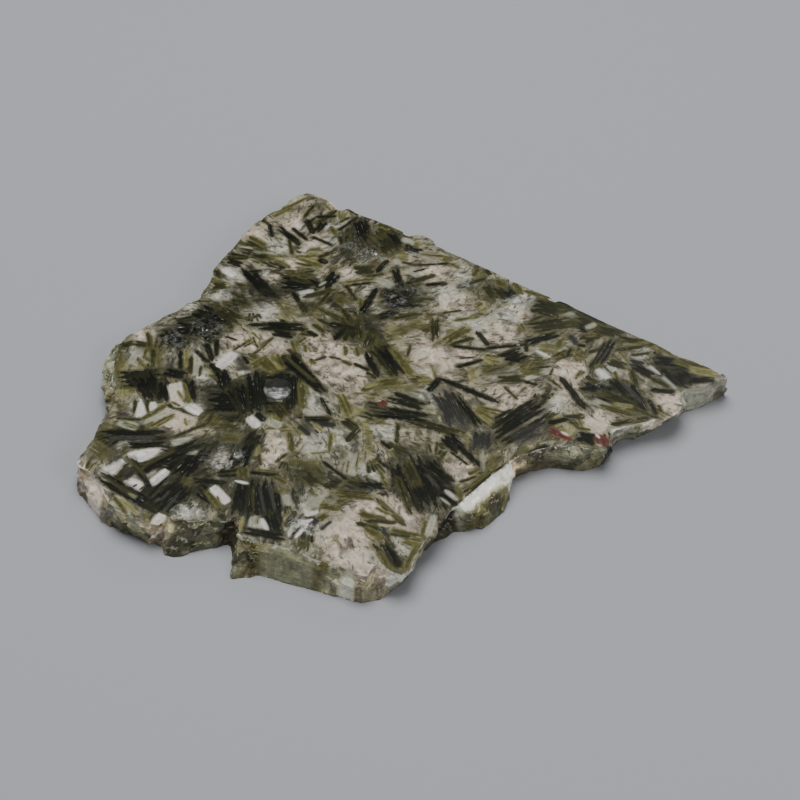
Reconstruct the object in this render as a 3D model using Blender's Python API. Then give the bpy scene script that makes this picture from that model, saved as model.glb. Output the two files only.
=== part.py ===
"""A polished slab of mica-rich pegmatite, broken all round except for one straight side.

The stone is one solid. Its flat upper face is polished and its flat underside is sawn. The wall
between them is a loft: it runs from the outline of the polished face down to the outline of the
underside, over a ridge that stands out or falls back as the break does.
Lengths are in millimetres until the last step, which turns them into metres.
"""

import math
import random
from typing import NamedTuple

import bmesh
import bpy
from mathutils import Vector, noise

# Driving dimensions, mm
LENGTH = 190.0
WIDTH = 164.0
THICKNESS = 9.0

# Fineness and raggedness of the broken wall, mm
STATION_SPACING = 2.3
CHIP_BEVEL = 0.45
OUTLINE_WAVE = 2.6
BLOCK_SIZE = 3.4

# The round pit in the polished face
PIT_CENTRE = (-37.8, -8.6)
PIT_RADIUS = 4.6
PIT_DEPTH = 0.9

# Small shell-shaped chips struck from the polished edge: x, y and radius
EDGE_CHIPS = (
    (1.2, 61.8, 1.9),
    (45.2, 31.2, 1.8),
    (-20.8, 74.6, 1.7),
    (80.2, 7.6, 1.4),
    (13.8, -56.4, 1.3),
    (-67.4, 30.4, 1.6),
    (-62.4, 34.0, 1.4),
    (-47.0, 69.0, 1.3),
)
CHIP_FLATTEN = 0.75

STONE_COLOUR = (0.17, 0.18, 0.12, 1.0)
STONE_ROUGHNESS = 0.3


class Stretch(NamedTuple):
    """One run of the broken wall, clockwise seen from above.

    edge: corners of the polished face's outline.
    foot: the same corners where the wall meets the underside, or one distance
        that the foot stands out from the edge.
    drop: depth of the wall's ridge below the polished face.
    bulge: how far the ridge stands out from the straight line from edge to foot.
    rough: how far single blocks of the break stand out or fall back.
    """

    edge: tuple
    foot: object
    drop: float
    bulge: float
    rough: float


STRETCHES = (
    # The rounded back corner
    Stretch(
        edge=(
            (-37.9, 76.0), (-36.6, 78.8), (-34.5, 80.5), (-32.0, 81.3), (-29.5, 80.7),
            (-27.3, 79.2), (-24.5, 77.2), (-22.4, 74.9), (-20.8, 73.1), (-18.6, 73.6),
        ),
        foot=0.3, drop=4.0, bulge=0.5, rough=0.35,
    ),
    # The straight side, sawn and only lightly chipped, as far as the knob
    Stretch(
        edge=((-16.8, 72.2), (-14.8, 70.5), (-9.9, 67.9), (-4.9, 65.0), (-1.0, 62.2)),
        foot=0.2, drop=4.5, bulge=0.0, rough=0.1,
    ),
    # The knob of mica left standing on the straight side
    Stretch(
        edge=((1.4, 60.3), (2.8, 60.7), (4.4, 60.8), (6.6, 59.7), (8.4, 57.9), (9.6, 55.6)),
        foot=0.6, drop=3.0, bulge=0.5, rough=0.4,
    ),
    # The straight side again, to the right-hand corner
    Stretch(
        edge=(
            (12.6, 53.0), (17.0, 50.2), (25.0, 44.6), (32.0, 39.6), (38.0, 35.3),
            (40.6, 33.9), (43.4, 31.9), (44.5, 30.2), (47.2, 29.7), (49.2, 28.6),
            (52.0, 26.1), (58.0, 21.8), (64.0, 17.6), (70.0, 13.6), (75.0, 10.6),
            (78.5, 7.7), (81.4, 5.2),
        ),
        foot=0.2, drop=4.5, bulge=0.0, rough=0.1,
    ),
    Stretch(
        edge=((85.0, 3.6), (88.0, 1.6), (91.0, -0.5), (92.7, -2.2), (94.3, -2.7)),
        foot=0.5, drop=2.5, bulge=0.3, rough=0.3,
    ),
    # The pale cleavage face under the right-hand corner
    Stretch(
        edge=((94.8, -3.6), (94.0, -4.9), (90.0, -6.2), (86.5, -7.7), (82.6, -8.6)),
        foot=((95.0, -1.8), (94.2, -2.4), (91.4, -4.1), (88.2, -6.6), (85.2, -8.1)),
        drop=2.0, bulge=0.35, rough=0.05,
    ),
    # Deeply undercut front, down to the red crystal
    Stretch(
        edge=(
            (81.0, -9.8), (80.6, -12.5), (80.3, -15.8), (79.0, -18.6), (75.5, -20.3),
            (71.0, -21.4), (66.5, -22.8), (62.5, -24.2), (60.0, -25.8), (58.4, -27.8),
        ),
        foot=(
            (82.4, -8.9), (80.9, -10.0), (79.3, -11.2), (77.3, -12.4), (75.1, -13.9),
            (72.3, -16.7), (68.1, -19.6), (63.8, -20.3), (61.2, -22.0), (59.6, -23.8),
        ),
        drop=1.9, bulge=0.9, rough=0.35,
    ),
    # Block below and left of the red crystal
    Stretch(
        edge=(
            (58.3, -30.4), (56.8, -33.2), (54.6, -33.1), (50.5, -32.1), (46.6, -31.5),
            (43.5, -31.3), (39.5, -32.2), (36.8, -33.2), (33.0, -35.2), (30.3, -37.6),
        ),
        foot=(
            (58.5, -26.6), (57.2, -29.6), (55.0, -31.8), (50.9, -33.0), (46.0, -32.4),
            (42.6, -32.3), (38.6, -32.7), (35.4, -33.6), (32.8, -34.9), (30.9, -36.2),
        ),
        drop=3.4, bulge=0.7, rough=0.4,
    ),
    # The bright mica ledge: a cleavage plane that dips to the right, then a steep wall
    Stretch(
        edge=(
            (28.8, -39.4), (26.6, -40.8), (23.8, -43.4), (20.6, -47.0), (17.8, -50.2),
            (15.4, -53.0), (14.3, -54.6),
        ),
        foot=(
            (29.8, -37.6), (29.6, -41.4), (28.7, -45.7), (26.4, -50.2), (23.6, -53.9),
            (21.3, -55.8), (19.2, -55.2),
        ),
        drop=3.2, bulge=2.4, rough=0.04,
    ),
    # The notch beside it, and the low brown shelf in the notch
    Stretch(
        edge=((13.4, -55.3), (12.2, -56.1), (10.9, -58.3), (9.4, -61.3), (8.2, -64.4), (7.4, -66.5)),
        foot=((16.3, -56.3), (13.0, -56.9), (11.2, -58.4), (9.2, -59.6), (7.4, -61.0), (5.8, -62.6)),
        drop=3.0, bulge=-0.2, rough=0.4,
    ),
    # The undercut right flank of the front corner
    Stretch(
        edge=(
            (4.5, -67.6), (3.4, -70.4), (2.3, -73.8), (1.2, -76.8), (0.2, -79.4),
            (-1.7, -80.3),
        ),
        foot=(
            (3.6, -64.6), (2.6, -67.4), (1.4, -70.4), (0.2, -73.0), (-1.4, -75.2),
            (-3.2, -77.6),
        ),
        drop=1.6, bulge=0.5, rough=0.2,
    ),
    # The front corner, with its silvery, creamy and pale facets
    Stretch(
        edge=(
            (-3.6, -79.4), (-6.0, -77.2), (-8.2, -75.0), (-9.6, -77.6), (-11.0, -80.5),
            (-14.2, -80.1), (-18.6, -77.5), (-22.0, -75.8),
        ),
        foot=(
            (-5.2, -79.8), (-7.2, -81.2), (-9.0, -81.8), (-10.8, -82.1), (-12.9, -82.4),
            (-15.2, -81.7), (-18.0, -80.9), (-20.5, -79.8),
        ),
        drop=3.6, bulge=1.1, rough=0.3,
    ),
    # The long pale cleavage face at the front
    Stretch(
        edge=((-24.4, -75.1), (-29.0, -72.3), (-34.0, -70.1), (-39.6, -68.4), (-43.4, -67.2)),
        foot=((-22.8, -79.2), (-28.0, -77.4), (-33.6, -75.6), (-38.9, -73.4), (-41.2, -72.8)),
        drop=1.6, bulge=1.2, rough=0.06,
    ),
    # The fibrous column at its left end
    Stretch(
        edge=((-45.4, -66.4), (-46.6, -64.6), (-46.8, -62.0), (-46.4, -59.6)),
        foot=((-45.0, -73.6), (-48.6, -74.0), (-48.9, -70.8), (-48.4, -66.4)),
        drop=4.0, bulge=0.1, rough=0.35,
    ),
    # The dark cleft right of the middle block
    Stretch(
        edge=((-47.6, -58.5), (-49.2, -59.6)),
        foot=((-49.7, -62.2), (-51.4, -61.2)),
        drop=3.0, bulge=-0.4, rough=0.2,
    ),
    # The middle block, whose shoulder lies well below the polish
    Stretch(
        edge=(
            (-50.4, -60.5), (-52.6, -60.2), (-55.6, -60.8), (-58.6, -60.6), (-61.6, -60.2),
            (-64.0, -60.1), (-65.5, -60.2),
        ),
        foot=(
            (-53.4, -62.2), (-56.0, -63.1), (-59.0, -63.8), (-62.3, -65.3), (-65.2, -66.1),
            (-67.8, -65.2), (-68.3, -63.2),
        ),
        drop=2.8, bulge=0.7, rough=0.4,
    ),
    # The cleft left of it
    Stretch(
        edge=((-66.3, -59.2), (-67.4, -60.9)),
        foot=((-69.5, -61.5), (-70.9, -60.8)),
        drop=3.0, bulge=-0.3, rough=0.2,
    ),
    # The left block
    Stretch(
        edge=((-68.8, -62.4), (-72.6, -61.2), (-76.4, -58.9), (-80.6, -57.0), (-83.6, -53.8)),
        foot=((-72.4, -61.3), (-75.9, -59.3), (-79.5, -57.0), (-83.6, -54.8), (-86.6, -52.8)),
        drop=2.6, bulge=0.6, rough=0.25,
    ),
    # The pinkish feldspar corner at the far left
    Stretch(
        edge=(
            (-85.0, -50.6), (-86.6, -47.4), (-88.4, -44.0), (-90.6, -41.6), (-92.9, -40.4),
            (-94.0, -38.3),
        ),
        foot=(
            (-87.8, -50.2), (-90.2, -47.2), (-92.8, -43.9), (-94.2, -41.0), (-94.9, -38.2),
            (-94.8, -35.6),
        ),
        drop=3.4, bulge=0.7, rough=0.35,
    ),
    # The left side, as far as its recess
    Stretch(
        edge=(
            (-93.4, -36.3), (-92.1, -33.8), (-91.0, -30.6), (-89.7, -26.4), (-88.8, -24.0),
            (-87.9, -22.2),
        ),
        foot=(
            (-94.3, -33.4), (-92.9, -30.8), (-91.7, -27.0), (-90.4, -22.8), (-89.4, -20.4),
            (-88.8, -18.4),
        ),
        drop=3.5, bulge=0.4, rough=0.3,
    ),
    Stretch(
        edge=((-87.2, -19.8), (-86.7, -17.0), (-86.1, -14.2), (-85.7, -11.8)),
        foot=((-88.6, -16.2), (-88.2, -13.8), (-87.6, -11.4), (-87.0, -9.2)),
        drop=4.0, bulge=1.5, rough=0.3,
    ),
    # The pale ledge that stands out from it
    Stretch(
        edge=(
            (-86.0, -9.2), (-86.5, -6.0), (-86.9, -2.4), (-87.1, 1.4), (-87.1, 5.0),
            (-86.7, 8.2), (-86.0, 11.0),
        ),
        foot=(
            (-87.7, -6.8), (-88.4, -4.0), (-88.7, -0.6), (-88.9, 3.0), (-88.8, 6.4),
            (-88.0, 9.2), (-86.8, 11.6),
        ),
        drop=4.0, bulge=2.9, rough=0.3,
    ),
    # The long broken back-left side
    Stretch(
        edge=(
            (-83.1, 14.8), (-80.4, 17.5), (-77.4, 19.4), (-74.0, 22.4), (-70.0, 25.3),
            (-68.0, 27.5), (-66.4, 29.5), (-64.0, 30.4), (-62.6, 32.4), (-61.9, 36.0),
            (-60.3, 39.8), (-59.8, 44.6), (-58.4, 47.6), (-55.5, 53.0), (-53.5, 56.0),
            (-51.8, 60.0), (-49.4, 64.7), (-47.4, 67.1), (-45.0, 69.8), (-42.5, 72.0),
            (-40.0, 73.8),
        ),
        foot=0.4, drop=3.6, bulge=0.5, rough=0.45,
    ),
)


class Station(NamedTuple):
    """A place on the wall: its points on both flat faces and its ridge's settings."""

    edge: Vector
    foot: Vector
    drop: float
    bulge: float
    rough: float


def outward(points, i):
    """Unit normal, pointing away from the stone, of a clockwise outline at point i."""
    along = points[(i + 1) % len(points)] - points[i - 1]
    return Vector((-along.y, along.x)).normalized()


def corner_stations():
    """The hand-placed corners of every stretch, in one ring."""
    edges = [Vector(p) for s in STRETCHES for p in s.edge]
    stations = []
    for stretch in STRETCHES:
        for k in range(len(stretch.edge)):
            i = len(stations)
            if isinstance(stretch.foot, tuple):
                foot = Vector(stretch.foot[k])
            else:
                foot = edges[i] + outward(edges, i) * stretch.foot
            stations.append(Station(edges[i], foot, stretch.drop, stretch.bulge, stretch.rough))
    return stations


def between(a, b, t):
    """The station a share t of the way from station a to station b."""
    return Station(
        a.edge.lerp(b.edge, t),
        a.foot.lerp(b.foot, t),
        a.drop + (b.drop - a.drop) * t,
        a.bulge + (b.bulge - a.bulge) * t,
        a.rough + (b.rough - a.rough) * t,
    )


def wave(point, size, seed):
    """Smooth noise from -1 to 1 that repeats over about the given size."""
    return noise.noise(Vector((point.x / size, point.y / size, seed)))


def ragged_ring():
    """The corners with points added between them, and the fine waver of the break."""
    corners = corner_stations()
    ring = []
    for a, b in zip(corners, corners[1:] + corners[:1]):
        steps = max(1, round((b.edge - a.edge).length / STATION_SPACING))
        for k in range(steps):
            ring.append(between(a, b, k / steps))
    edges = [s.edge for s in ring]
    feet = [s.foot for s in ring]
    waved = []
    for i, s in enumerate(ring):
        edge_shift = wave(s.edge, OUTLINE_WAVE, 3.1) * s.rough * 0.8
        foot_shift = wave(s.foot, OUTLINE_WAVE, 8.4) * s.rough * 1.2
        waved.append(
            s._replace(
                edge=s.edge + outward(edges, i) * edge_shift,
                foot=s.foot + outward(feet, i) * foot_shift,
            )
        )
    return waved


def block_offset(point, height, rough):
    """How far the block of broken stone at this place stands out: the same all over a block."""
    cell = Vector((point.x, point.y, height * 1.4)) / BLOCK_SIZE
    return noise.cell(cell) * 2 * rough - rough


def wall_point(station, normal, depth):
    """A point of the wall, this far below the polished face."""
    straight = station.edge.lerp(station.foot, depth / THICKNESS)
    if depth <= station.drop:
        lean = depth / station.drop
    else:
        lean = (THICKNESS - depth) / (THICKNESS - station.drop)
    out = station.bulge * lean + block_offset(straight, depth, station.rough) * min(1.0, lean * 1.5)
    point = straight + normal * out
    return Vector((point.x, point.y, THICKNESS - depth))


def ring_depths(station):
    """Depths of the rings of wall points: dense near the polish, where chips show."""
    low = THICKNESS - station.drop
    return (
        0.0,
        CHIP_BEVEL,
        station.drop * 0.55,
        station.drop,
        station.drop + low * 0.35,
        station.drop + low * 0.7,
        THICKNESS,
    )


def slab_mesh():
    """The loft from the polished outline to the underside's, closed by two flat faces."""
    ring = ragged_ring()
    edges = [s.edge for s in ring]
    bm = bmesh.new()
    columns = []
    for i, station in enumerate(ring):
        normal = outward(edges, i)
        columns.append([bm.verts.new(wall_point(station, normal, d)) for d in ring_depths(station)])
    for column, following in zip(columns, columns[1:] + columns[:1]):
        for k in range(len(column) - 1):
            bm.faces.new((column[k], following[k], following[k + 1], column[k + 1]))
    bm.faces.new([column[0] for column in columns])
    bm.faces.new([column[-1] for column in reversed(columns)])
    bmesh.ops.recalc_face_normals(bm, faces=bm.faces)
    mesh = bpy.data.meshes.new("slab")
    bm.to_mesh(mesh)
    bm.free()
    return mesh


def link(obj, collection):
    collection.objects.link(obj)
    return obj


def ball_cutter(name, centre, radii, collection):
    """A squashed ball that a Boolean takes out of the stone. It is never rendered."""
    bm = bmesh.new()
    bmesh.ops.create_uvsphere(bm, u_segments=20, v_segments=12, radius=1.0)
    mesh = bpy.data.meshes.new(name)
    bmesh.ops.scale(bm, vec=radii, verts=bm.verts)
    bmesh.ops.translate(bm, vec=centre, verts=bm.verts)
    bm.to_mesh(mesh)
    bm.free()
    cutter = link(bpy.data.objects.new(name, mesh), collection)
    cutter.hide_render = True
    cutter.display_type = "WIRE"
    return cutter


def cut(target, cutter):
    modifier = target.modifiers.new("cut_" + cutter.name, "BOOLEAN")
    modifier.operation = "DIFFERENCE"
    modifier.object = cutter


def add_pit(slab, cutters):
    """The shallow round pit: a big ball that dips into the polish by the pit's depth."""
    height = 2 * PIT_RADIUS
    width = PIT_RADIUS / math.sqrt(1 - (1 - PIT_DEPTH / height) ** 2)
    centre = (*PIT_CENTRE, THICKNESS + height - PIT_DEPTH)
    cut(slab, ball_cutter("pit_cutter", centre, (width, width, height), cutters))


def add_chips(slab, cutters):
    """Shell-shaped chips along the polished edge, each a ball half over the edge."""
    turn = random.Random(5)
    for k, (x, y, radius) in enumerate(EDGE_CHIPS):
        radii = (radius * turn.uniform(0.9, 1.3), radius, radius * CHIP_FLATTEN)
        centre = (x, y, THICKNESS + turn.uniform(0.0, 0.4))
        cut(slab, ball_cutter(f"chip_cutter_{k}", centre, radii, cutters))


def stone_material():
    material = bpy.data.materials.new("mica_pegmatite")
    material.use_nodes = True
    shader = material.node_tree.nodes["Principled BSDF"]
    shader.inputs["Base Color"].default_value = STONE_COLOUR
    shader.inputs["Roughness"].default_value = STONE_ROUGHNESS
    return material


def fit_to_size(objects, slab):
    """Centres the stone over the origin, at its driving length and width, in metres."""
    xs = [v.co.x for v in slab.data.vertices]
    ys = [v.co.y for v in slab.data.vertices]
    middle = Vector(((min(xs) + max(xs)) / 2, (min(ys) + max(ys)) / 2, 0.0))
    stretch = Vector((LENGTH / (max(xs) - min(xs)), WIDTH / (max(ys) - min(ys)), 1.0))
    for obj in objects:
        for vertex in obj.data.vertices:
            moved = vertex.co - middle
            vertex.co = Vector(a * b for a, b in zip(moved, stretch)) * 0.001


def clear_scene():
    for obj in list(bpy.data.objects):
        bpy.data.objects.remove(obj, do_unlink=True)


def main():
    clear_scene()
    stone = bpy.data.collections.new("mica_slab")
    cutters = bpy.data.collections.new("cutters")
    bpy.context.scene.collection.children.link(stone)
    bpy.context.scene.collection.children.link(cutters)
    slab = link(bpy.data.objects.new("slab", slab_mesh()), stone)
    slab.data.materials.append(stone_material())
    add_pit(slab, cutters)
    add_chips(slab, cutters)
    fit_to_size([slab, *cutters.objects], slab)


main()
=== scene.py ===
# %% [markdown]
# # A polished slab of mica rock
#
# The object is a flat piece of pegmatite, a very coarse rock, sawn 9 mm thick and polished on
# top. It is mostly bottle-green to black mica, whose crystals are stacks of thin sheets. The
# saw cuts each stack edge-on, so the polish shows long blades, fans and crossed laths. Cream
# feldspar and grey-white quartz fill the gaps. The edges are broken, apart from one sawn side.
#
# The solid model gives the true outline and wall. This script keeps that shape, breaks its wall
# up finer, and inlays the polished face with the blades.

# %% Load the solid model
import math
import random
from typing import NamedTuple

import bmesh
import bpy
import numpy as np
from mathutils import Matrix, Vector, kdtree, noise
from mathutils.geometry import delaunay_2d_cdt, intersect_point_line


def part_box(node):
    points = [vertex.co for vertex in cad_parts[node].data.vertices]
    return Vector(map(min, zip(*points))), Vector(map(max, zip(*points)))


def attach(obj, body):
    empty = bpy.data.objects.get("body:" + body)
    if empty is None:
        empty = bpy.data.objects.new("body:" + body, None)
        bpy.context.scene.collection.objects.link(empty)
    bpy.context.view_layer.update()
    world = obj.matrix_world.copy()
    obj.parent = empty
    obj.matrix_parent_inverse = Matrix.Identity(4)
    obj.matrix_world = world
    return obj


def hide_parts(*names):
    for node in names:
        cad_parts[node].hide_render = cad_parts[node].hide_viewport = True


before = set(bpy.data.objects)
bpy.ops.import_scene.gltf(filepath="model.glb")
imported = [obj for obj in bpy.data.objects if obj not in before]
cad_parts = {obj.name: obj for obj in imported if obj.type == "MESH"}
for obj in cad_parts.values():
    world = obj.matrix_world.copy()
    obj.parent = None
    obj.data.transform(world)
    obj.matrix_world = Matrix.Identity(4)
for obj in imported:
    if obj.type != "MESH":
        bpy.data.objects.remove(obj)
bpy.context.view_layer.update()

MM = 0.001
# All that is random starts from these, so that every run makes the same stone
NOISE_SEED, BREAK_SEED, TOP_SEED, UNDER_SEED, FLAKE_SEED = 3, 5, 11, 23, 7
noise.seed_set(NOISE_SEED)
slab_low, slab_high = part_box("slab")
TOP = slab_high.z / MM
print("slab, mm:", [round(c / MM, 1) for c in slab_high - slab_low])

# %% [markdown]
# ## Reading the stone
#
# Every crystal that stands out is written down as one row: where it starts and ends on
# the polished face, how wide it is, and a letter for its look. A look is a place on one scale
# from 0 to 1, which both colour ramps of the material share. Small letters are the same crystals
# deeper in the stone, where the milky matrix over them blurs and thins them.
#
# Rows could be scattered at random instead, but a real slab is known by its few large blades, as
# a face is, so the large ones are listed one by one and only the small ones between are random.

# %% Looks of the crystals
LOOKS = {
    "K": 0.000,  # black-green blades, too thick for light to pass
    "S": 0.125,  # smoky grey sheets seen through quartz
    "D": 0.250,  # dark olive
    "O": 0.375,  # olive, thin enough to glow
    "Y": 0.500,  # yellow-green tips
    "P": 0.625,  # pale grey-green sheets
    "W": 0.750,  # grey-white quartz with sharp edges
    "C": 0.875,  # cream feldspar
    "R": 1.000,  # brick-red crystals
}
# How deep a crystal lies in the stone, from 0 at the polish to 1: as a capital, and as a small letter
SHALLOW, DEEP = 0.1, 0.6

# The rows' zero lies this far from the middle of the slab, in mm
ROW_ORIGIN = Vector((0.05, -0.24))


class Blade(NamedTuple):
    """One crystal as the polish shows it. Lengths in mm; taper 1 comes to a point at its start."""

    start: Vector
    end: Vector
    width: float
    look: float
    depth: float
    taper: float = 0.0


def read_rows(rows):
    """Rows of (x, y, end x, end y, width, letter, and perhaps taper) as blades."""
    blades = []
    for x, y, end_x, end_y, width, letter, *taper in rows:
        start = Vector((x, y)) - ROW_ORIGIN
        end = Vector((end_x, end_y)) - ROW_ORIGIN
        depth = DEEP if letter.islower() else SHALLOW
        blades.append(Blade(start, end, width, LOOKS[letter.upper()], depth, *taper))
    return blades


# %% [markdown]
# ### Smoke below the face
#
# At some places black mica crowds so thickly below the polish that the stone looks smoky there.
# These broad, blurred masses come first, so that all sharper crystals lie over them.

# %% Smoky masses
SMOKE = (
    (-66, -35, -44, -28, 9, "k"), (-72, -50, -52, -46, 10, "k"), (-74, -9, -34, -10, 10, "k"),
    (-60, -14, -42, -21, 7, "k"), (-50, -44, -38, -56, 12, "k"), (-74, 13, -52, 19, 9, "k"),
    (15, -24, 34, -23, 9, "k"), (22, -30, 42, -25, 8, "k"), (12, -12, 20, -24, 7, "k"),
    (-2, -44, 12, -48, 14, "k"), (-16, 57, -2, 54, 9, "k"), (-40, 38, -26, 36, 8, "k"),
    (-8, 30, 4, 33, 9, "k"), (-22, 16, -8, 18, 11, "k"), (-12, 4, -3, 2, 9, "k"), (36, 26, 56, 21, 7, "k"),
    (56, -9, 70, -14, 8, "k"), (74, 2, 88, -4, 6, "k"), (-50, 40, -44, 32, 7, "k"),
    (-64, 24, -52, 20, 8, "k"),
)
print("smoky masses:", len(SMOKE))

# %% [markdown]
# ### The middle of the slab
#
# A sharp V of two long laths, a smoky sheet inside it, and a thick black blade that crosses from
# the right. Left of them are a leaf-shaped crystal and a dark rosette.

# %% Crystals in the middle
MIDDLE = (
    (-22, 17, -6, 17.5, 11, "k"), (-16, 12, -17, 24, 7, "D"), (-28, 22.5, -19, 16, 1.8, "D"),
    (-20, 27, -16, 19, 2.2, "D"), (-24, 20, -15, 17, 2.4, "K"), (-22, 12, -18, 19, 2.4, "K"),
    (-12, 8, -10, 16, 4, "D"), (-34, 8, -31.5, 16, 2.2, "o"), (-33, 15.5, -26, 14, 1.4, "D"),
    (-28, 20, -24.5, 15.5, 1.6, "O"), (-31, 12, -29.8, 7, 1.4, "o"), (9.5, -7.5, 16.5, -26, 7.5, "S"),
    (14, -10.5, 21.8, -25, 2.6, "K"), (6.4, -9.6, 10.2, -3.2, 2.4, "K"), (9.6, -3.9, 27.4, -14.4, 2.1, "K"),
    (43.4, -8.4, 36, -17, 3.4, "D"), (41, -13.5, 23, -28.5, 5.4, "K"), (38, -12, 24.5, -24, 2.2, "K"),
    (41.6, -19.6, 27, -31, 3.2, "K"), (22, -25, 21, -34, 6, "S"), (30, -29.5, 41, -24, 5.5, "s"),
    (25, -21.2, 31.2, -16.2, 1.4, "K"), (-1, -20.5, 17, -27.5, 3.6, "D"), (-10.4, -18.6, 8, -20.8, 3.4, "K"),
    (-7, -12.2, 5.2, -15.8, 3.2, "K", 0.4), (-4.5, -9.6, 4.6, -14.6, 2.2, "K"),
    (-6, -16.5, 7, -19.5, 2.2, "K"), (-11, -8, -3, -6, 3.6, "o"), (-3, -6.8, 0.5, -5.6, 1, "O"),
    (-2.6, -21.5, -3, -31, 1.5, "D"), (10.6, -27, 16, -34, 5, "K"), (14.4, -31, 20.6, -39.6, 2.3, "K"),
    (12, -33.4, 17.6, -39.4, 0.9, "K"), (-33.5, -20.2, -21.6, -20.3, 1.2, "K"),
    (-32, -21, -26.6, -27.6, 3.4, "s"), (-25.6, -10.8, -21.8, -20.2, 1.4, "K"),
    (-36, 5.5, -24.2, -10.2, 4.6, "K", -0.5), (-19, -10, -16, -19, 1.4, "O"),
    (-18.6, -20.6, -14.6, -25, 3.4, "D"), (-17.4, -30, -13.6, -24, 2.4, "D"),
    (-9.6, 11.6, -1, -3.2, 7.4, "D"), (-8.2, 10.4, -1.6, -2.6, 4.4, "K"), (-12.6, 8.4, -8.2, -4, 2.4, "K"),
    (-4.6, 9.4, 1.8, -3, 2.4, "O"), (1.2, 11, 0.3, 5.4, 1.1, "D"), (20.6, 17, 24.8, 9.8, 1.9, "K"),
    (12, 10, 20.4, 13.8, 1.8, "D"), (11.6, 10.2, 25, 8, 1.5, "K"), (23.4, 8.8, 37, 10.8, 1.6, "K"),
    (35, 10.8, 46, 15.4, 3.2, "K"), (14, 0.4, 23, 4, 1.6, "K"), (17, -2.8, 21.4, 1, 1.1, "K"),
    (15, 4.4, 21.4, 5.2, 0.9, "K"), (26, 5, 33, 8.8, 1.3, "D"), (28.6, 3.4, 35.6, 7.4, 6, "K"),
    (8.6, 11.6, 8.6, 23, 3.2, "D"), (10.4, 11, 19.4, 18.6, 3.4, "O"), (10, 24.2, 17, 25.8, 1.1, "D"),
    (13, 20.6, 23, 23.2, 1.5, "O"), (21, -1, 33, 0.6, 5, "d"), (26, -4.4, 35, -4, 3.4, "D"),
    (34, -5, 38.6, -6.8, 1.1, "K"), (28, -6.6, 32.6, -13, 1.1, "D"), (43.4, 0.6, 42.2, -3.2, 1, "D"),
    (45.2, -3.2, 52, -16.6, 2.4, "K"), (41.4, -3.4, 46.2, -9, 0.9, "D"), (40.6, -22.6, 47, -20.8, 2, "K"),
    (33.6, -35.2, 41.2, -31, 1.6, "K"), (-35, 25, -26, 30, 6, "d"), (-14, 24, -11, 31, 2.6, "K"),
    (38, 28.4, 48, 24.4, 7, "D"), (36, 17.4, 52, 20.8, 5.6, "D"), (-8, -29, -4.4, -33, 1.2, "K"),
    (-5, 21.4, 4, 24.4, 1.8, "D"), (-5, 14.6, 6, 20.6, 4.4, "o"), (20, -6, 19, 1, 2.6, "y"),
)
print("crystals read in the middle:", len(MIDDLE))

# %% [markdown]
# ### The left of the slab
#
# Broad black laths lie flat at the left edge. Below them four laths cross and fence in white
# windows of quartz. Above them is one large dark crystal, then a strip of pale laths on edge.

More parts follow.
